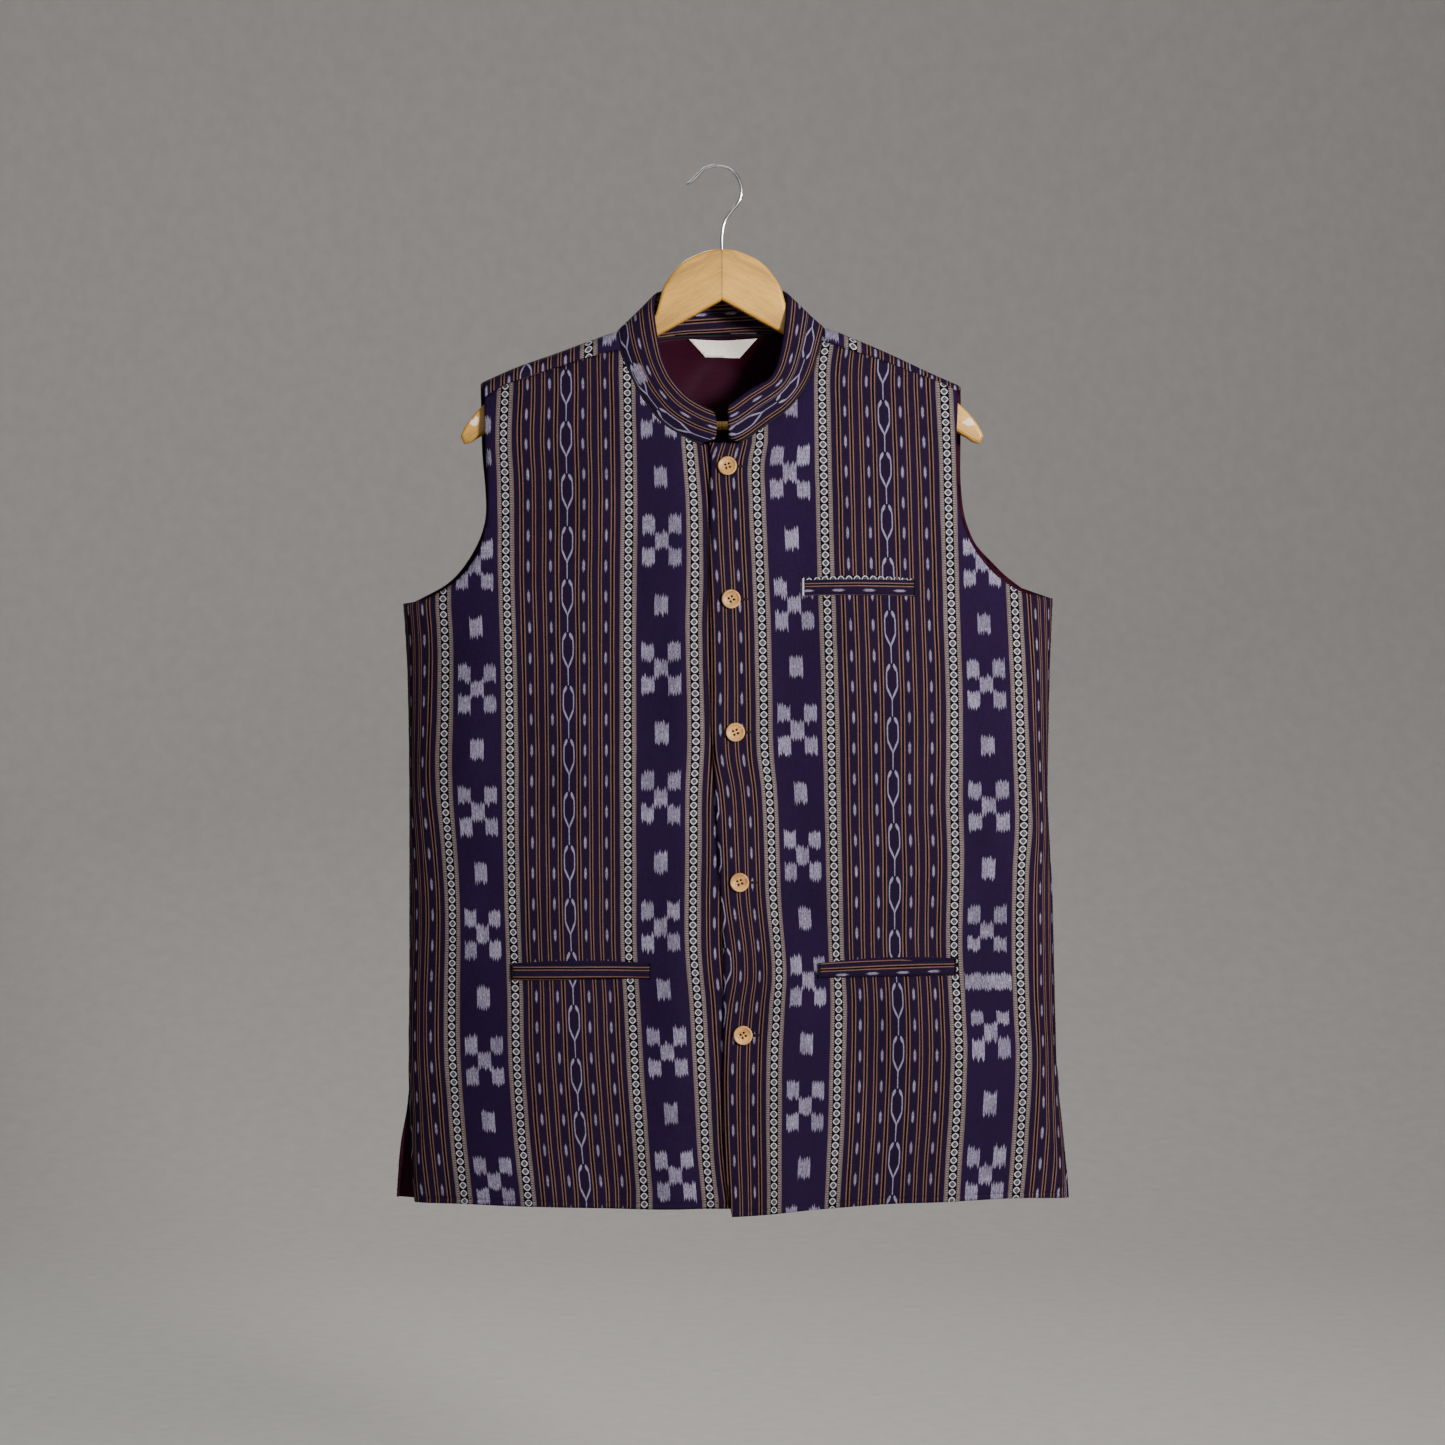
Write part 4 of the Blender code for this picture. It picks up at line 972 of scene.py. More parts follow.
    on_band = m("MAXIMUM", m("GREATER_THAN", a, STRIP_EDGES[-1] + 0.8), on_collar)
    blocks = m("MULTIPLY", m("MULTIPLY", blocks, on_band), 0.96)
    tone = m("ADD", scaled(fleck, 0.42, 3.0), scaled(yarn, 0.5, 1.6), clamp=True)

    pale = over(m("ADD", m("MULTIPLY", tone, 0.75), 0.25), woven("block_dark"), block)
    colour = over(rib_dark, base, woven("rib_gap"))
    colour = over(rib_pale, colour, woven("rib_pale"))
    colour = over(ring, colour, woven("ring"))
    colour = over(m("MULTIPLY", dash, 0.88), colour, pale)
    colour = over(chain, colour, woven("chain"))
    colour = over(blocks, colour, pale)
    bright = m("ADD", m("ADD", m("MULTIPLY", weave, 0.8), 1.0), scaled(cloudy, 0.5, 0.55))
    # raised yarns: the woven strips stand a little proud of the plain ground
    strip = m("ADD", ring, m("MULTIPLY", on_rib, m("ADD", rib_wave, 1.0)))
    raised = m("ADD", m("MULTIPLY", weave, 0.45), m("MULTIPLY", strip, 0.3))
    surface(tree, shader, tinted(tree, colour, bright), 0.6, 0.0004, raised)
    return material


def satin_lining(colour):
    """Viscose satin: a tight smooth face that takes a soft sheen along its folds."""
    material, tree, shader = new_finish("wine_satin", 0.6)
    shader.inputs["Specular IOR Level"].default_value = 0.06
    streak = stretched_noise(tree, add(tree, "UVMap", uv_map="cloth"), (0.05, 0.6, 1), 3.0)
    shade = add(tree, "ValToRGB", (streak,), stops=[(0.3, painted(colour, 0.7)), (0.7, painted(colour))])
    surface(tree, shader, shade, 0.15, 0.0003, streak)
    return material


def wood_grain(tree, place, way, pale, dark, grain):
    """The colour and the pores of straight-grained wood: pores 1 to 2 mm apart and broader growth bands."""
    turned = add(tree, "Mapping", {0: place, "Rotation": way})
    grown = stretched_noise(tree, turned, (9, 60, grain), 4.0, roughness=0.6, distortion=0.4)
    pores = stretched_noise(tree, turned, (60, 300, grain * 12), 3.0, roughness=0.7)
    mixed = add(tree, "Math", (grown, 0.62, add(tree, "Math", (pores, 0.38), operation="MULTIPLY")),
                operation="MULTIPLY_ADD")
    shade = add(tree, "ValToRGB", (mixed,), stops=[(0.38, painted(pale, dark)), (0.62, painted(pale))])
    return shade, pores


def button_shell(pale):
    """Turned and lacquered hardwood: fine straight pores, a low even gloss."""
    material, tree, shader = new_finish("button_shell", 0.42, Coat_Weight=0.1, Coat_Roughness=0.28)
    shade, pores = wood_grain(tree, add(tree, "TexCoord", output=3), (0.3, 0.5, 0.2), pale, 0.46, 200)
    surface(tree, shader, shade, 0.18, 0.0002, pores)
    return material


def chrome_wire():
    """Steel wire, chromium plated and drawn: bright, with faint marks along it."""
    material, tree, shader = new_finish("plated_wire", 0.16, Metallic=1.0)
    marks = stretched_noise(tree, add(tree, "TexCoord", output=3), (500, 500, 60), 2.0)
    shade = add(tree, "ValToRGB", (marks,), stops=[(0.3, srgb("B9B9BC")), (0.7, srgb("DCDCDE"))])
    surface(tree, shader, shade, 0.08, 0.0001, marks)
    return material


def thread_finish(name, colour):
    """Spun polyester thread, two plies: a soft twist that catches light in small beads."""
    material, tree, shader = new_finish(name, 0.7)
    shader.inputs["Specular IOR Level"].default_value = 0.2
    twist = stretched_noise(tree, add(tree, "TexCoord", output=3), (900, 900, 900), 1.0)
    shade = add(tree, "ValToRGB", (twist,), stops=[(0.35, painted(colour, 0.6)), (0.65, colour)])
    surface(tree, shader, shade, 0.4, 0.0002, twist)
    return material


def label_cloth(colour):
    """Damask label tape: fine ribs 0.8 mm apart, drawn coarser than life so that they show."""
    material, tree, shader = new_finish("label_tape", 0.7, Sheen_Weight=0.15)
    ribs = stretched_noise(tree, add(tree, "UVMap", uv_map="cloth"), (0.25, 1.4, 1), 3.0)
    shade = add(tree, "ValToRGB", (ribs,), stops=[(0.3, painted(colour, 0.82)), (0.65, painted(colour))])
    surface(tree, shader, shade, 0.4, 0.0003, ribs)
    return material


# the chip's middle, in metres from the joint, with the board's front face
CHIP_PLACE = (0.2095, -0.0062, -0.2165)


def board_wood(pale):
    """Lacquered beech, sawn in two arms that meet in a mitre, so that the grain runs down each arm.

    The lacquer is worn at the ends.
    """
    material, tree, shader = new_finish("lacquered_beech", 0.42, Coat_Weight=0.25, Coat_Roughness=0.28)
    place = add(tree, "TexCoord", output=3)
    split = add(tree, "SeparateXYZ", (place,)).node
    x = add(tree, "Math", (split.outputs[0], SHANK_X * MM), operation="SUBTRACT")
    # the grain is mirrored at the mitre
    from_joint = add(tree, "Math", (x,), operation="ABSOLUTE")
    mirrored = add(tree, "CombineXYZ", (from_joint, split.outputs[1], split.outputs[2]))
    shade, pores = wood_grain(tree, mirrored, (0, -0.52, 0), pale, 0.46, 60)
    # painted shade: the viewer's left arm is darkened to 0.86 of its colour, as though turned away from the
    # key light, and the joint is a fine dark line
    side = add(tree, "MapRange", {"Value": x, 1: -0.0002, 2: 0.0002, 3: 0.86, 4: 1.0})
    joint = add(tree, "MapRange", {"Value": from_joint, 1: 0.0002, 2: 0.0007, 3: 0.45, 4: 1.0})
    colour = tinted(tree, shade, add(tree, "Math", (side, joint), operation="MULTIPLY"))
    # one chip in the lacquer near each tip, where it has been knocked
    chips = stretched_noise(tree, place, (260, 260, 260), 3.0)
    off_chip = add(tree, "VectorMath", (mirrored, CHIP_PLACE), output=1, operation="DISTANCE")
    ragged = add(tree, "Math", (add(tree, "Math", (chips, 0.5), operation="SUBTRACT"), 0.011, off_chip),
                 operation="MULTIPLY_ADD")
    worn = add(tree, "MapRange", {"Value": ragged, 1: 0.0028, 2: 0.0042, 3: 0.85, 4: 0.0})
    colour = add(tree, "Mix", {0: worn, 6: colour, 7: srgb("E9DCC9")}, output=2, data_type="RGBA")
    surface(tree, shader, colour, 0.18, 0.0002, pores)
    return material


def pale_paper():
    """Matt backdrop paper, faintly mottled."""
    material, tree, shader = new_finish("pale_paper", 0.9)
    mottle = add(tree, "TexNoise", {"Vector": add(tree, "TexCoord", output=3), "Scale": 40.0, "Detail": 2.0})
    shade = add(tree, "ValToRGB", (mottle,), stops=[(0.3, srgb("CFCBC6")), (0.7, srgb("D6D2CD"))])
    tree.links.new(shade, shader.inputs["Base Color"])
    return material


# the ikat cloth's lesser colours, as sRGB digits
CLOTH_COLOURS = {
    "gap": "050203", "rib": "5A4E4C", "rib_gap": "120D0F", "rib_pale": "938884", "black": "040305",
    "ring": "ABAAB2", "chain": "7F7B8F", "block_dark": "413A54",
}
# how far the collar's inner face has its stripes shifted
FACING_SLIP = -24.3
FINISH_MAKERS = {
    "ikat": lambda look: ikat_cloth("ikat_cotton"),
    "facing": lambda look: ikat_cloth("ikat_cotton_facing", FACING_SLIP),
    "satin": lambda look: satin_lining(look.lining),
    "wood": lambda look: board_wood(look.wood),
    "button": lambda look: button_shell(look.button),
    "wire": lambda look: chrome_wire(),
    "label": lambda look: label_cloth(look.label),
    "dark_thread": lambda look: thread_finish("dark_thread", srgb("0B0711")),
    # the collar's seam roll is coloured near black, darker than the cloth, as painted shade in its joint
    "seam": lambda look: thread_finish("shaded_seam_cloth", srgb("0C0712")),
    "pale_thread": lambda look: thread_finish("pale_thread", srgb("C9C4D2")),
    "paper": lambda look: pale_paper(),
}
FINISHES = {}


def finish(name):
    """The jacket's finishes, each made once."""
    if name not in FINISHES:
        FINISHES[name] = FINISH_MAKERS[name](bpy.context.scene.jacket_look)
    return FINISHES[name]


# Pieces


# what the seams add to the cut's width, length and area
ALLOWANCE = 1.03


def declare_sheet(outline):
    """Works out the cut of a cloth piece, the outline's own size and area with its seam allowance, and keeps
    neither.
    """
    xs = [p[0] for p in outline]
    ys = [p[1] for p in outline]
    size = ((max(xs) - min(xs)) * MM * ALLOWANCE, (max(ys) - min(ys)) * MM * ALLOWANCE)
    area = min(abs(signed_area(outline)) * MM * MM * ALLOWANCE, size[0] * size[1])


# where each front's chains and spindles stand along the warp
LEFT_SLIP = -20.5
RIGHT_SLIP = 184.1


def make_fronts():
    left = front_outline(NECK_RIGHT, EDGE_OVER, HEM_RIGHT, SIDE_RIGHT, ARM_RIGHT, SEAM_RIGHT)
    right = front_outline(NECK_LEFT, EDGE_UNDER, HEM_LEFT[::-1], SIDE_LEFT, ARM_LEFT, SEAM_LEFT)
    read_left = front_cloth(STRIPS_LEFT_FRONT, FIVES_LEFT_FRONT, LEFT_SLIP)
    read_right = front_cloth(STRIPS_RIGHT_FRONT, FIVES_RIGHT_FRONT, RIGHT_SLIP)
    wall = bpy.context.scene.jacket_look.wall / MM
    for name, node, outline, place, read in (
        ("left_front", "front_left", left, over_point, read_left),
        ("right_front", "front_right", right, under_point, read_right),
    ):
        made = lay_cloth(name, outline, place, read, ("ikat", "satin"), -1, wall, hem=HEM_TOP)
        sew_in(made, "ikat_cloth", node)
        declare_sheet(outline)


def make_back():
    def read(point, x, w):
        return back_cloth(point, w)

    outline = back_outline()
    made = lay_cloth("back_panel", outline, back_point, read, ("ikat", "satin"), 1,
                     bpy.context.scene.jacket_look.wall / MM, hem=back_w(5.0, HEM_TOP - 6.0), rim=1)
    sew_in(made, "ikat_cloth", "back")
    declare_sheet(outline)
    outline = lining_outline()
    made = lay_cloth("satin_back_lining", outline, back_point, read, ("satin",), 1, 0.6, lift=lining_lift,
                     steps=(6.0, 6.0), roll=(0.0, 1.0))
    sew_in(made, "satin_lining", "back_lining")
    declare_sheet(outline)


def collar_outline():
    long, high, cut = COLLAR_LONG, COLLAR_HIGH, 9.0
    sides = [
        [(1.0, 6.0), (7.0, 0.2)],
        [(7.0, 0.2), (long - 9.0, 0.2)],
        [(long - 9.0, 0.2), (long - 1.5, 8.0), (long, 15.0)],
        [(long, 15.0), (long, high - cut)],
        [(long, high - cut), (long - 2.4, high - 3.0), (long - cut, high)],
        [(long - cut, high), (6.0, high)],
        [(6.0, high), (1.6, high - 1.8), (0.0, high - 7.0)],
        [(0.0, high - 7.0), (1.0, 6.0)],
    ]
    return outline_of(sides, 3)


def make_collar():
    outline = collar_outline()
    made = lay_cloth("stand_collar", outline, collar_point, lambda point, x, y: collar_cloth(x, y),
                     ("ikat", "facing"), 1, 2.6, steps=(3.0, 2.0), roll=(1.0, 2.8))
    sew_in(made, "ikat_cloth", "collar")
    declare_sheet(outline)


def swept(path, radius, sides):
    """A round cord along points in millimetres, closed at its ends. A list gives each point's own radius."""
    work = bmesh.new()
    ends = len(path) - 1
    last = None
    for k, p in enumerate(path):
        way = (path[min(k + 1, ends)] - path[max(k - 1, 0)]).normalized()
        turn = Vector((0, 0, 1)).rotation_difference(way).to_matrix().to_4x4()
        thin = radius[k] if isinstance(radius, list) else radius
        ring = bmesh.ops.create_circle(work, segments=sides, radius=thin * MM,
                                       matrix=Matrix.Translation(p * MM) @ turn)["verts"]
        touching = {edge for vert in ring for edge in vert.link_edges}
        edges = [edge for edge in touching if all(v in ring for v in edge.verts)]
        if last:
            bmesh.ops.bridge_loops(work, edges=last + edges)
        last = edges
    bmesh.ops.holes_fill(work, edges=work.edges[:], sides=sides)
    bmesh.ops.recalc_face_normals(work, faces=work.faces[:])
    return work


# the roll inside the collar's seam: its radius, how far it sinks, and the shares of the collar's length
# that come before it and that it covers
SEAM_ROLL_R = 1.6
SEAM_ROLL_SINK = 0.7
SEAM_ROLL_START = 0.015
SEAM_ROLL_SHARE = 0.965


def make_collar_seam():
    """The turned edges of the collar's seam, a narrow roll that closes the joint from inside; its near-black
    colour is painted shade in the joint.
    """
    count = 150
    path = []
    for k in range(count + 1):
        s = COLLAR_LONG * (SEAM_ROLL_START + SEAM_ROLL_SHARE * k / count)
        inward = -normal_at(collar_point, s, 4.0)
        path.append(collar_point(s, 0.0) - Vector((0, 0, SEAM_ROLL_SINK)) + inward * SEAM_ROLL_R)
    sew_in(piece_from(swept(path, SEAM_ROLL_R, 8), "collar_seam", "seam"), "ikat_cloth")


# name, node, top edge, bottom edge, which front, stripe at the top edge, a spindle's place along the welt
WELTS = [
    ("breast_welt", "welt_breast", [(71.9, 352.0), (118.0, 351.4), (165.4, 352.0)],
     [(71.9, 364.9), (118.0, 364.5), (165.4, 365.2)], over_point, 22.4, 101.0),
    ("lower_welt_left", "welt_lower_left", [(85.2, 673.9), (140.0, 671.6), (199.6, 670.2)],
     [(85.2, 685.0), (140.0, 684.2), (199.6, 683.6)], over_point, 22.0, 104.0),
    ("lower_welt_right", "welt_lower_right", [(-171.9, 674.6), (-115.0, 674.0), (-55.4, 674.2)],
     [(-171.9, 687.6), (-115.0, 686.6), (-55.4, 685.4)], under_point, 15.2, -150.0),
]


# the breast pocket's facing is cut through ring diamonds, the lower ones through plain cotton
BREAST_FACING_U = STRIP_U + 0.6
LOWER_FACING_U = 38.5
FACING_STEPS = 12
# a facing's height over its welt at the ends, what its middle adds, and how far it goes under the welt
FACING_END = 0.9
FACING_RISE = 2.4
FACING_UNDER = 1.2


def facing_outline(top):
    """A narrow strip that stands over a welt's top edge, highest at its middle."""
    run = [top[0][0] + (top[-1][0] - top[0][0]) * k / FACING_STEPS for k in range(FACING_STEPS + 1)]
    rise = [FACING_END + FACING_RISE * math.sin(math.pi * (k + 0.5) / len(run)) for k in range(len(run))]
    strip = [(x, along(top, x) - high) for x, high in zip(run, rise)]
    strip += [(x, along(top, x) + FACING_UNDER) for x in run[::-1]]
    return outline_of(list(zip(strip, strip[1:] + strip[:1])), 2)


def make_welts():
    for name, node, top, bottom, place, cloth_top, spindle in WELTS:
        outline = outline_of([top, [top[-1], bottom[-1]], bottom[::-1], [bottom[0], top[0]]], 2)
        on_breast = node == "welt_breast"

        def read(point, x, y, top=top, cloth_top=cloth_top, spindle=spindle):
            u = cloth_top + y - along(top, x)
            return u, x - spindle + DASH_START + 20 * DASH_PITCH, u - REPEAT_U / 2, x

        made = lay_cloth(name, outline, place, read, ("ikat",), -1, 1.7, lift=2.1, steps=(3.0, 2.0),
                         roll=(0.9, 2.0))
        sew_in(made, "ikat_cloth", node)
        declare_sheet(outline)

        def read_facing(point, x, y, top=top, facing_u=BREAST_FACING_U if on_breast else LOWER_FACING_U):
            aside = 1.6 * smooth((abs(x - 122.0) - 30.0) / 18.0)
            return facing_u + aside + along(top, x) - 1.0 - y, x, 40.0, x

        made = lay_cloth(name + "_facing", facing_outline(top), place, read_facing, ("ikat",), -1, 0.5,
                         lift=0.55, steps=(2.0, 0.9), roll=(0.45, 1.2))
        sew_in(made, "ikat_cloth")
        bar_tack(name + "_tack_left", top[0], bottom[0], place, "pale_thread" if on_breast else "dark_thread")
        bar_tack(name + "_tack_right", top[-1], bottom[-1], place, "dark_thread")


def lay_bead(work, at, turn, half_sizes, sides, rings):
    """One stitch: a ball of thread drawn out to its half sizes, all in millimetres."""
    drawn = Matrix.Diagonal((*half_sizes, 1.0)) @ Matrix.Scale(MM, 4)
    bmesh.ops.create_uvsphere(work, u_segments=sides, v_segments=rings, radius=1.0,
                              matrix=Matrix.Translation(at * MM) @ turn.to_4x4() @ drawn)


TACK_STITCHES = 22
TACK_HALF = (1.0, 0.38, 0.36)
TACK_LIFT = 2.3


def bar_tack(name, above, below, place, thread):
    """Close stitches down the end of a welt, which hold it to the front."""
    work = bmesh.new()
    for k in range(TACK_STITCHES):
        x = above[0] + (below[0] - above[0]) * k / TACK_STITCHES
        drop = above[1] - 1.0 + (below[1] - above[1] + 1.6) * k / TACK_STITCHES
        normal = -normal_at(place, x, drop)
        turn = Vector((0, -1, 0)).rotation_difference(normal).to_matrix()
        lay_bead(work, place(x, drop) + normal * TACK_LIFT, turn, TACK_HALF, 8, 5)
    sew_in(piece_from(work, name, thread), "ikat_cloth")


STITCH_LONG = 2.3
STITCH_GAP = 0.9
STITCH_HALF = (STITCH_LONG / 2, 0.27, 0.24)
STITCH_LIFT = -0.62


def stitch_row(name, path, place, outward):
    """A row of lock stitches along a path: each is a short bead of thread that lies in the cloth."""
    work = bmesh.new()
    run = curve_through(path, 0.5)
    travelled = 0.0
    next_stitch = 1.0
    for k in range(1, len(run)):
        travelled += (run[k] - run[k - 1]).length
        if travelled < next_stitch:
            continue
        next_stitch += STITCH_LONG + STITCH_GAP
        normal = normal_at(place, *run[k]) * outward
        ahead = (place(*run[k]) - place(*run[k - 1])).normalized()
        turn = Matrix((ahead, normal.cross(ahead).normalized(), normal)).transposed()
        lay_bead(work, place(*run[k]) + normal * STITCH_LIFT, turn, STITCH_HALF, 6, 4)
    sew_in(piece_from(work, name, "dark_thread"), "ikat_cloth")


# the rows of stitches stop this far from a hem's ends
HEM_END = 6.0


def make_stitches():
    """The rows of stitches that hold the hems up."""
    for name, hem, place in (
        ("hem_stitches_left", HEM_RIGHT, over_point),
        ("hem_stitches_right", HEM_LEFT, under_point),
    ):
        path = [(x, y - HEM_STITCH) for x, y in hem]
        path[0] = (path[0][0] + HEM_END, path[0][1])
        path[-1] = (path[-1][0] - HEM_END, path[-1][1])
        stitch_row(name, path, place, -1)
    low = BACK_HEM - HEM_STITCH
    left, right = along(BACK_LEFT, low) + HEM_END, along(BACK_RIGHT, low) - HEM_END
    path = [(left + (right - left) * k / 24, low) for k in range(25)]
    stitch_row("hem_stitches_back", on_back(path), back_point, 1)


# a button's section, from its back to its middle: radius, height
BUTTON_SECTION = [(0.0, 0.0), (5.4, 0.0), (7.0, 0.5), (7.8, 1.3), (8.0, 2.0), (7.85, 2.75), (7.3, 3.2),
                  (6.7, 3.15), (6.1, 2.75), (5.5, 2.35), (4.6, 2.2), (0.0, 2.15)]
HOLE_OUT = 2.15
HOLE_R = 0.95
HOLE_TURN = 70
THREAD_R = 0.62


def button_blank():
    """One button's turned blank at the origin, its face towards -Y, in millimetres."""
    work = bmesh.new()
    section = [work.verts.new((r, -h, 0)) for r, h in BUTTON_SECTION]
    edges = [work.edges.new(pair) for pair in zip(section, section[1:])]
    bmesh.ops.spin(work, geom=section + edges, cent=(0, 0, 0), axis=(0, 1, 0), angle=2 * math.pi, steps=56,
                   use_merge=True)
    bmesh.ops.remove_doubles(work, verts=work.verts[:], dist=1e-3)
    bmesh.ops.recalc_face_normals(work, faces=work.faces[:])
    return work


def hole_places(seat, depth):
    """Where the four holes of a button are, at a depth in millimetres from its back."""
    for quarter in range(4):
        angle = math.radians(HOLE_TURN + 90 * quarter)
        spot = Vector((HOLE_OUT * math.cos(angle), depth, HOLE_OUT * math.sin(angle)))
        yield seat @ Matrix.Translation(spot * MM)


def drill_holes(made, seat):
    """Cuts the four holes of a button through it."""
    drill = bmesh.new()
    for place in hole_places(seat, 0.0):
        bmesh.ops.create_cone(drill, cap_ends=True, segments=16, radius1=HOLE_R * MM, radius2=HOLE_R * MM,
                              depth=0.02, matrix=place @ Matrix.Rotation(math.pi / 2, 4, "X"))
    tool = piece_from(drill, "drill")
    cut = made.modifiers.new("holes", "BOOLEAN")
    cut.operation = "DIFFERENCE"
    cut.solver = "EXACT"
    cut.object = tool
    keep_modifiers(made)
    bpy.data.objects.remove(tool)


def keep_modifiers(made):
    """Makes what a piece's modifiers give its own mesh."""
    graph = bpy.context.evaluated_depsgraph_get()
    fixed = bpy.data.meshes.new_from_object(made.evaluated_get(graph))
    made.modifiers.clear()
    made.data = fixed


def make_buttons():
    for number, (x, drop) in enumerate(BUTTONS, 1):
        normal = -normal_at(over_point, x, drop)
        turn = Vector((0, -1, 0)).rotation_difference(normal).to_matrix()
        # each is sewn on at a slightly different turn
        turn = turn @ Matrix.Rotation(math.radians(9 * math.sin(2.2 * number)), 3, "Y")
        seat = Matrix.Translation((over_point(x, drop) + normal * 0.5) * MM) @ turn.to_4x4()
        work = button_blank()
        bmesh.ops.transform(work, matrix=seat @ Matrix.Scale(MM, 4), verts=work.verts[:])
        made = piece_from(work, f"shell_button_{number}", "button")
        drill_holes(made, seat)
        for face in made.data.polygons:
            face.use_smooth = True
        sew_in(made, "button_shell", f"button_{number}")
        work = bmesh.new()
        for place in hole_places(seat, -0.5):
            bmesh.ops.create_uvsphere(work, u_segments=10, v_segments=6, radius=THREAD_R * MM, matrix=place)
        sew_in(piece_from(work, f"button_thread_{number}", "dark_thread", flat_from=3), "ikat_cloth")


# a buttonhole's middle beside the button's, its half length and half height
BUTTONHOLE_ASIDE = 3.0
BUTTONHOLE_HALF = 12.2
BUTTONHOLE_HIGH = 1.5


def plain_cloth(point, x, y):
    """How cloth without a pattern lies."""
    return x, y, 0, 0


def make_buttonholes():
    """A worked buttonhole behind each button: a dark bar of close stitches, longer to the viewer's right."""
    for number, (x, drop) in enumerate(BUTTONS, 1):
        loop = []
        for k in range(28):
            angle = 2 * math.pi * k / 28
            reach = 1.0 + 0.06 * math.sin(9 * angle)
            across = BUTTONHOLE_ASIDE + BUTTONHOLE_HALF * math.cos(angle) * reach
            loop.append((x + across, drop + BUTTONHOLE_HIGH * math.sin(angle) * reach))
        made = lay_cloth(f"buttonhole_{number}", loop, over_point, plain_cloth, ("dark_thread",), -1, 0.4,
                         lift=0.45, steps=(1.5, 0.8), roll=(0.35, 1.2))
        sew_in(made, "ikat_cloth")


LABEL_CORNERS = [(-26.0, 141.0), (35.0, 140.8), (20.6, 156.4), (-12.0, 155.6)]


def make_label():
    outline = outline_of(list(zip(LABEL_CORNERS, LABEL_CORNERS[1:] + LABEL_CORNERS[:1])), 3)

    def label_point(x, drop):
        return back_point(x, back_w(x, drop))

    made = lay_cloth("blank_label", outline, label_point, plain_cloth, ("label",), 1, 0.5, lift=-(WALL + 2.2),
                     steps=(3.0, 3.0), roll=(0.0, 1.0))
    sew_in(made, "label_cloth", "neck_label")
    declare_sheet(outline)


def board_side(table, way):
    """Half of the board's edge, to the viewer's right (1) or left (-1) of its shank."""
    return curve_through([(SHANK_X + way * x, d) for x, d in table], 3)


def board_outline():
    upper = board_side(BOARD_UPPER[::-1], -1)[:-1] + board_side(BOARD_UPPER, 1)
    return upper + board_side(BOARD_LOWER, 1) + board_side(BOARD_LOWER, -1)[-2::-1]


# the round of the board's edges, and the least corners that a flat face of the hanger has
BOARD_ROUND = 3.4
FLAT_CORNERS = 8


def make_hanger():
    work = bmesh.new()
    rim = [work.verts.new((p[0] * MM, -BOARD_HALF * MM, -p[1] * MM)) for p in board_outline()]
    front = work.faces.new(rim)
    grown = bmesh.ops.extrude_face_region(work, geom=[front])
    moved = [item for item in grown["geom"] if isinstance(item, bmesh.types.BMVert)]
    bmesh.ops.translate(work, verts=moved, vec=(0, 2 * BOARD_HALF * MM, 0))
    bmesh.ops.recalc_face_normals(work, faces=work.faces[:])
    edges = [edge for edge in work.edges if abs(edge.verts[0].co.y - edge.verts[1].co.y) < 1e-6]
    bmesh.ops.bevel(work, geom=edges, offset=BOARD_ROUND * MM, offset_type="OFFSET", segments=5, profile=0.5,
                    affect="EDGES", clamp_overlap=True, material=-1)
    sew_in(piece_from(work, "hanger_board", "wood", flat_from=FLAT_CORNERS), "hanger_wood", "hanger_wood")
    work = bmesh.new()
    place = Matrix.Translation(Vector((SHANK_X, 0, -BAR_DROP)) * MM) @ Matrix.Rotation(math.pi / 2, 4, "Y")
    bmesh.ops.create_cone(work, cap_ends=True, segments=32, radius1=BAR_R * MM, radius2=BAR_R * MM,
                          depth=BAR_LONG * MM, matrix=place)
    sew_in(piece_from(work, "trouser_bar", "wood", flat_from=FLAT_CORNERS), "hanger_wood", "hanger_bar")


WIRE_R = 1.45
# the filed tip's first two radii
TIP_R = [0.8, 1.3]


def make_hook():
    """The bent wire, swept along the same points as its solid, with a filed tip."""
    path = [Vector((p.x, 0, -p.y)) for p in curve_through(HOOK, 2.2)]
    work = swept(path, TIP_R + [WIRE_R] * (len(path) - len(TIP_R)), 18)
    sew_in(piece_from(work, "wire_hook", "wire"), "hook_wire", "hanger_hook")


# Stage, in metres

# the backdrop's side, its near edge, its floor's height and length, and the arc of its bend into the wall
SWEEP_SIDE = 14.0
SWEEP_NEAR = -4.5
FLOOR_Z = -1.3
FLOOR_RUN = 7.0
SWEEP_BEND = 3.0
# name, place, aim, size, power, spread in degrees, tint
LIGHTS = [
    ("key", (1.3, -2.1, 0.0), (0.1, 0, -0.3), 0.5, 27, 95, (1.0, 0.95, 0.93)),
    ("fill", (0.3, -3.3, 0.1), (0.0, 0, -0.45), 1.4, 6, 180, (0.92, 0.94, 1.0)),
    ("top", (0.5, -0.9, 1.6), (0.0, 0, -0.3), 1.2, 7, 180, (1.0, 0.98, 0.96)),
    ("back", (-0.6, 2.2, 1.5), (0.0, 0, -0.4), 1.0, 34, 180, (1.0, 0.99, 0.97)),
]
WORLD_TINT = (0.75, 0.77, 0.8, 1)
WORLD_STRENGTH = 0.28
FILM_WIDE = 36


def sweep_at(run):
    """The backdrop's y and z, a length of paper from its near edge: a floor, a round bend and a wall."""
    radius = SWEEP_BEND / (math.pi / 2)
    if run < FLOOR_RUN:
        return run, 0.0
    if run < FLOOR_RUN + SWEEP_BEND:
        angle = (run - FLOOR_RUN) / radius
        return FLOOR_RUN + radius * math.sin(angle), radius * (1 - math.cos(angle))
    return FLOOR_RUN + radius, radius + run - FLOOR_RUN - SWEEP_BEND


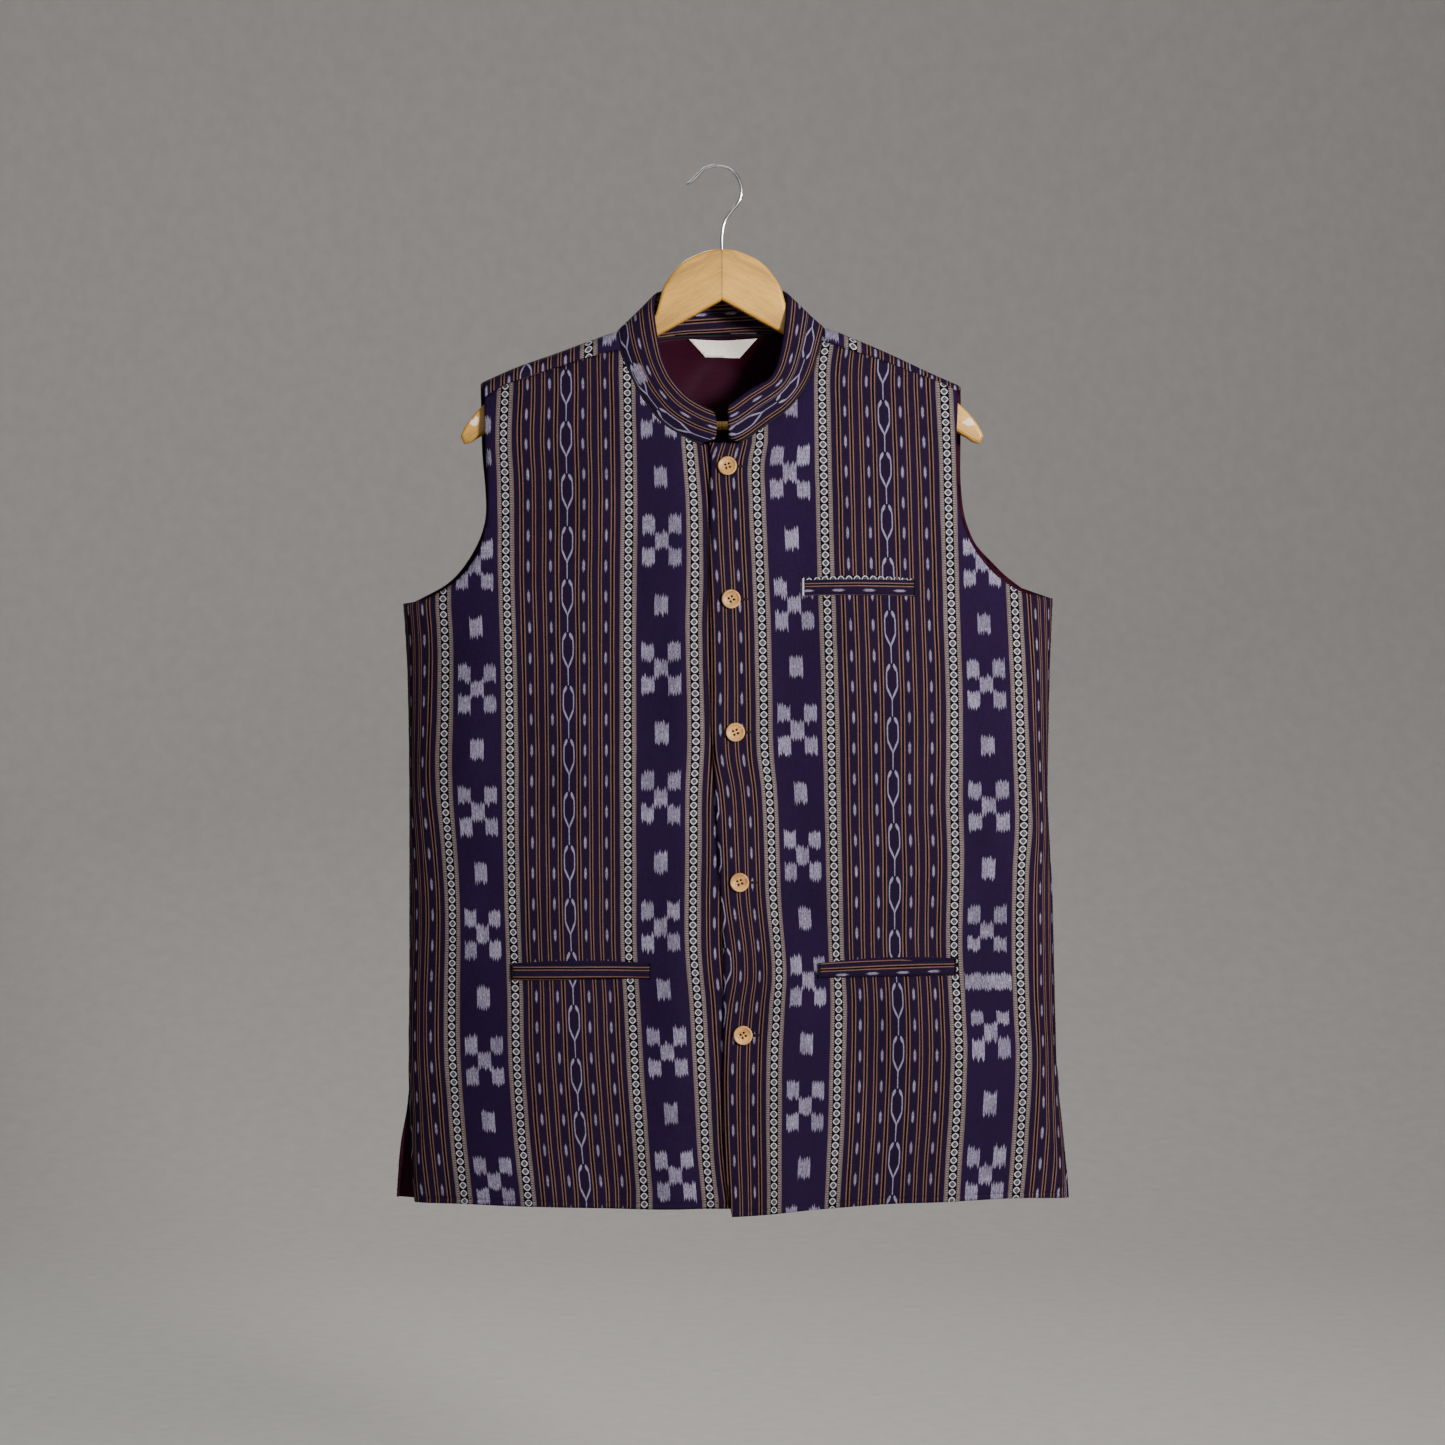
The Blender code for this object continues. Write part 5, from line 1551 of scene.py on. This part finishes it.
def aimed(name, data, at, aim):
    """Puts a light in the scene, turned to what it lights."""
    made = bpy.data.objects.new(name, data)
    made.location = at
    made.rotation_euler = (Vector(aim) - Vector(at)).to_track_quat("-Z", "Y").to_euler()
    bpy.context.scene.collection.objects.link(made)


def make_stage():
    """A pale floor that rises into a backdrop, soft lights, the key at the viewer's right, and the camera."""
    work = bmesh.new()
    bmesh.ops.create_grid(work, x_segments=2, y_segments=64, size=0.5)
    for vert in work.verts:
        y, z = sweep_at((vert.co.y + 0.5) * SWEEP_SIDE)
        vert.co = (vert.co.x * SWEEP_SIDE, y + SWEEP_NEAR, z + FLOOR_Z)
    bmesh.ops.recalc_face_normals(work, faces=work.faces[:])
    piece_from(work, "paper_sweep", "paper")
    for name, at, aim, size, power, spread, tint in LIGHTS:
        light = bpy.data.lights.new(name, "AREA")
        light.shape = "DISK"
        light.size = size
        light.energy = power
        light.spread = math.radians(spread)
        light.color = tint
        aimed(name, light, at, aim)
    world = bpy.data.worlds.new("studio")
    world.use_nodes = True
    background = world.node_tree.nodes["Background"]
    background.inputs[0].default_value = WORLD_TINT
    background.inputs[1].default_value = WORLD_STRENGTH
    bpy.context.scene.world = world
    camera = bpy.data.cameras.new("camera")
    camera.sensor_width = FILM_WIDE
    camera.lens = FILM_WIDE * CAMERA_AWAY / (2 * HALF_PICTURE * MM_A_PIXEL * MM)
    seat = bpy.data.objects.new("camera", camera)
    seat.location = (PICTURE_X * MM, -CAMERA_AWAY, -PICTURE_DROP * MM)
    seat.rotation_euler = (math.pi / 2, 0, 0)
    bpy.context.scene.collection.objects.link(seat)
    bpy.context.scene.camera = seat


# Add-on


def colour(name, description, digits):
    """A colour property with the default that the photograph gives."""
    return FloatVectorProperty(name=name, description=description, subtype="COLOR", size=3, min=0, max=1,
                               default=srgb(digits)[:3])


class JacketLook(bpy.types.PropertyGroup):
    """The cloth's wall and the main colours."""

    wall: FloatProperty(name="Cloth Wall", description="Thickness of the outer cloth with its facing",
                        default=1.8 * MM, min=1.0 * MM, max=3.0 * MM, precision=4, unit="LENGTH")
    ground: colour("Ground", "Cotton between the fine stripes", "180C24")
    band: colour("Plain Band", "Cotton under the ikat blocks", "1B0D2B")
    line: colour("Fine Stripes", "Tan yarn of the paired stripes", "654A42")
    block: colour("Ikat Blocks", "Undyed yarn in the blocks and spindles", "A09BAE")
    lining: colour("Lining", "Satin of the lining", "2C0519")
    button: colour("Buttons", "Shell of the buttons", "D69F58")
    label: colour("Label", "Woven tape of the blank label", "FBF6EA")
    wood: colour("Hanger", "Wood of the hanger", "E9AE42")


class JACKET_OT_fronts(bpy.types.Operator):
    """Cut and hang the two fronts"""

    bl_idname = "jacket.fronts"
    bl_label = "Fronts"

    def execute(self, context):
        make_fronts()
        return {"FINISHED"}


class JACKET_OT_back(bpy.types.Operator):
    """Cut and hang the back and its lining"""

    bl_idname = "jacket.back"
    bl_label = "Back and Lining"

    def execute(self, context):
        make_back()
        return {"FINISHED"}


class JACKET_OT_collar(bpy.types.Operator):
    """Stand the collar on the neckline"""

    bl_idname = "jacket.collar"
    bl_label = "Collar"

    def execute(self, context):
        make_collar()
        make_collar_seam()
        return {"FINISHED"}


class JACKET_OT_welts(bpy.types.Operator):
    """Sew on the pocket welts"""

    bl_idname = "jacket.welts"
    bl_label = "Pocket Welts"

    def execute(self, context):
        make_welts()
        return {"FINISHED"}


class JACKET_OT_buttons(bpy.types.Operator):
    """Work the buttonholes, sew on the buttons and stitch the hems"""

    bl_idname = "jacket.buttons"
    bl_label = "Buttons and Stitches"

    def execute(self, context):
        make_buttonholes()
        make_buttons()
        make_stitches()
        return {"FINISHED"}


class JACKET_OT_label(bpy.types.Operator):
    """Sew the blank label in the neck"""

    bl_idname = "jacket.label"
    bl_label = "Blank Label"

    def execute(self, context):
        make_label()
        return {"FINISHED"}


class JACKET_OT_hanger(bpy.types.Operator):
    """Shape the hanger's board, bar and hook"""

    bl_idname = "jacket.hanger"
    bl_label = "Hanger"

    def execute(self, context):
        make_hanger()
        make_hook()
        return {"FINISHED"}


class JACKET_OT_stage(bpy.types.Operator):
    """Set the floor, lights and camera"""

    bl_idname = "jacket.stage"
    bl_label = "Stage"

    def execute(self, context):
        make_stage()
        return {"FINISHED"}


class JACKET_PT_panel(bpy.types.Panel):
    """Lists the jacket's pieces in the sidebar"""

    bl_idname = "JACKET_PT_panel"
    bl_label = "Jacket"
    bl_space_type = "VIEW_3D"
    bl_region_type = "UI"
    bl_category = "Jacket"

    def draw(self, context):
        for part in LOOK:
            self.layout.prop(context.scene.jacket_look, part)
        for step in STEPS:
            self.layout.operator(step.bl_idname)


LOOK = ("wall", "ground", "band", "line", "block", "lining", "button", "label", "wood")
STEPS = (JACKET_OT_stage, JACKET_OT_hanger, JACKET_OT_back, JACKET_OT_fronts, JACKET_OT_collar,
         JACKET_OT_welts, JACKET_OT_buttons, JACKET_OT_label)
CLASSES = (JacketLook, *STEPS, JACKET_PT_panel)


def register():
    for kind in CLASSES:
        bpy.utils.register_class(kind)
    bpy.types.Scene.jacket_look = PointerProperty(type=JacketLook)


def unregister():
    del bpy.types.Scene.jacket_look
    for kind in reversed(CLASSES):
        bpy.utils.unregister_class(kind)


def main():
    register()
    for step in STEPS:
        getattr(bpy.ops.jacket, step.bl_idname.split(".")[1])()


if __name__ == "__main__":
    main()
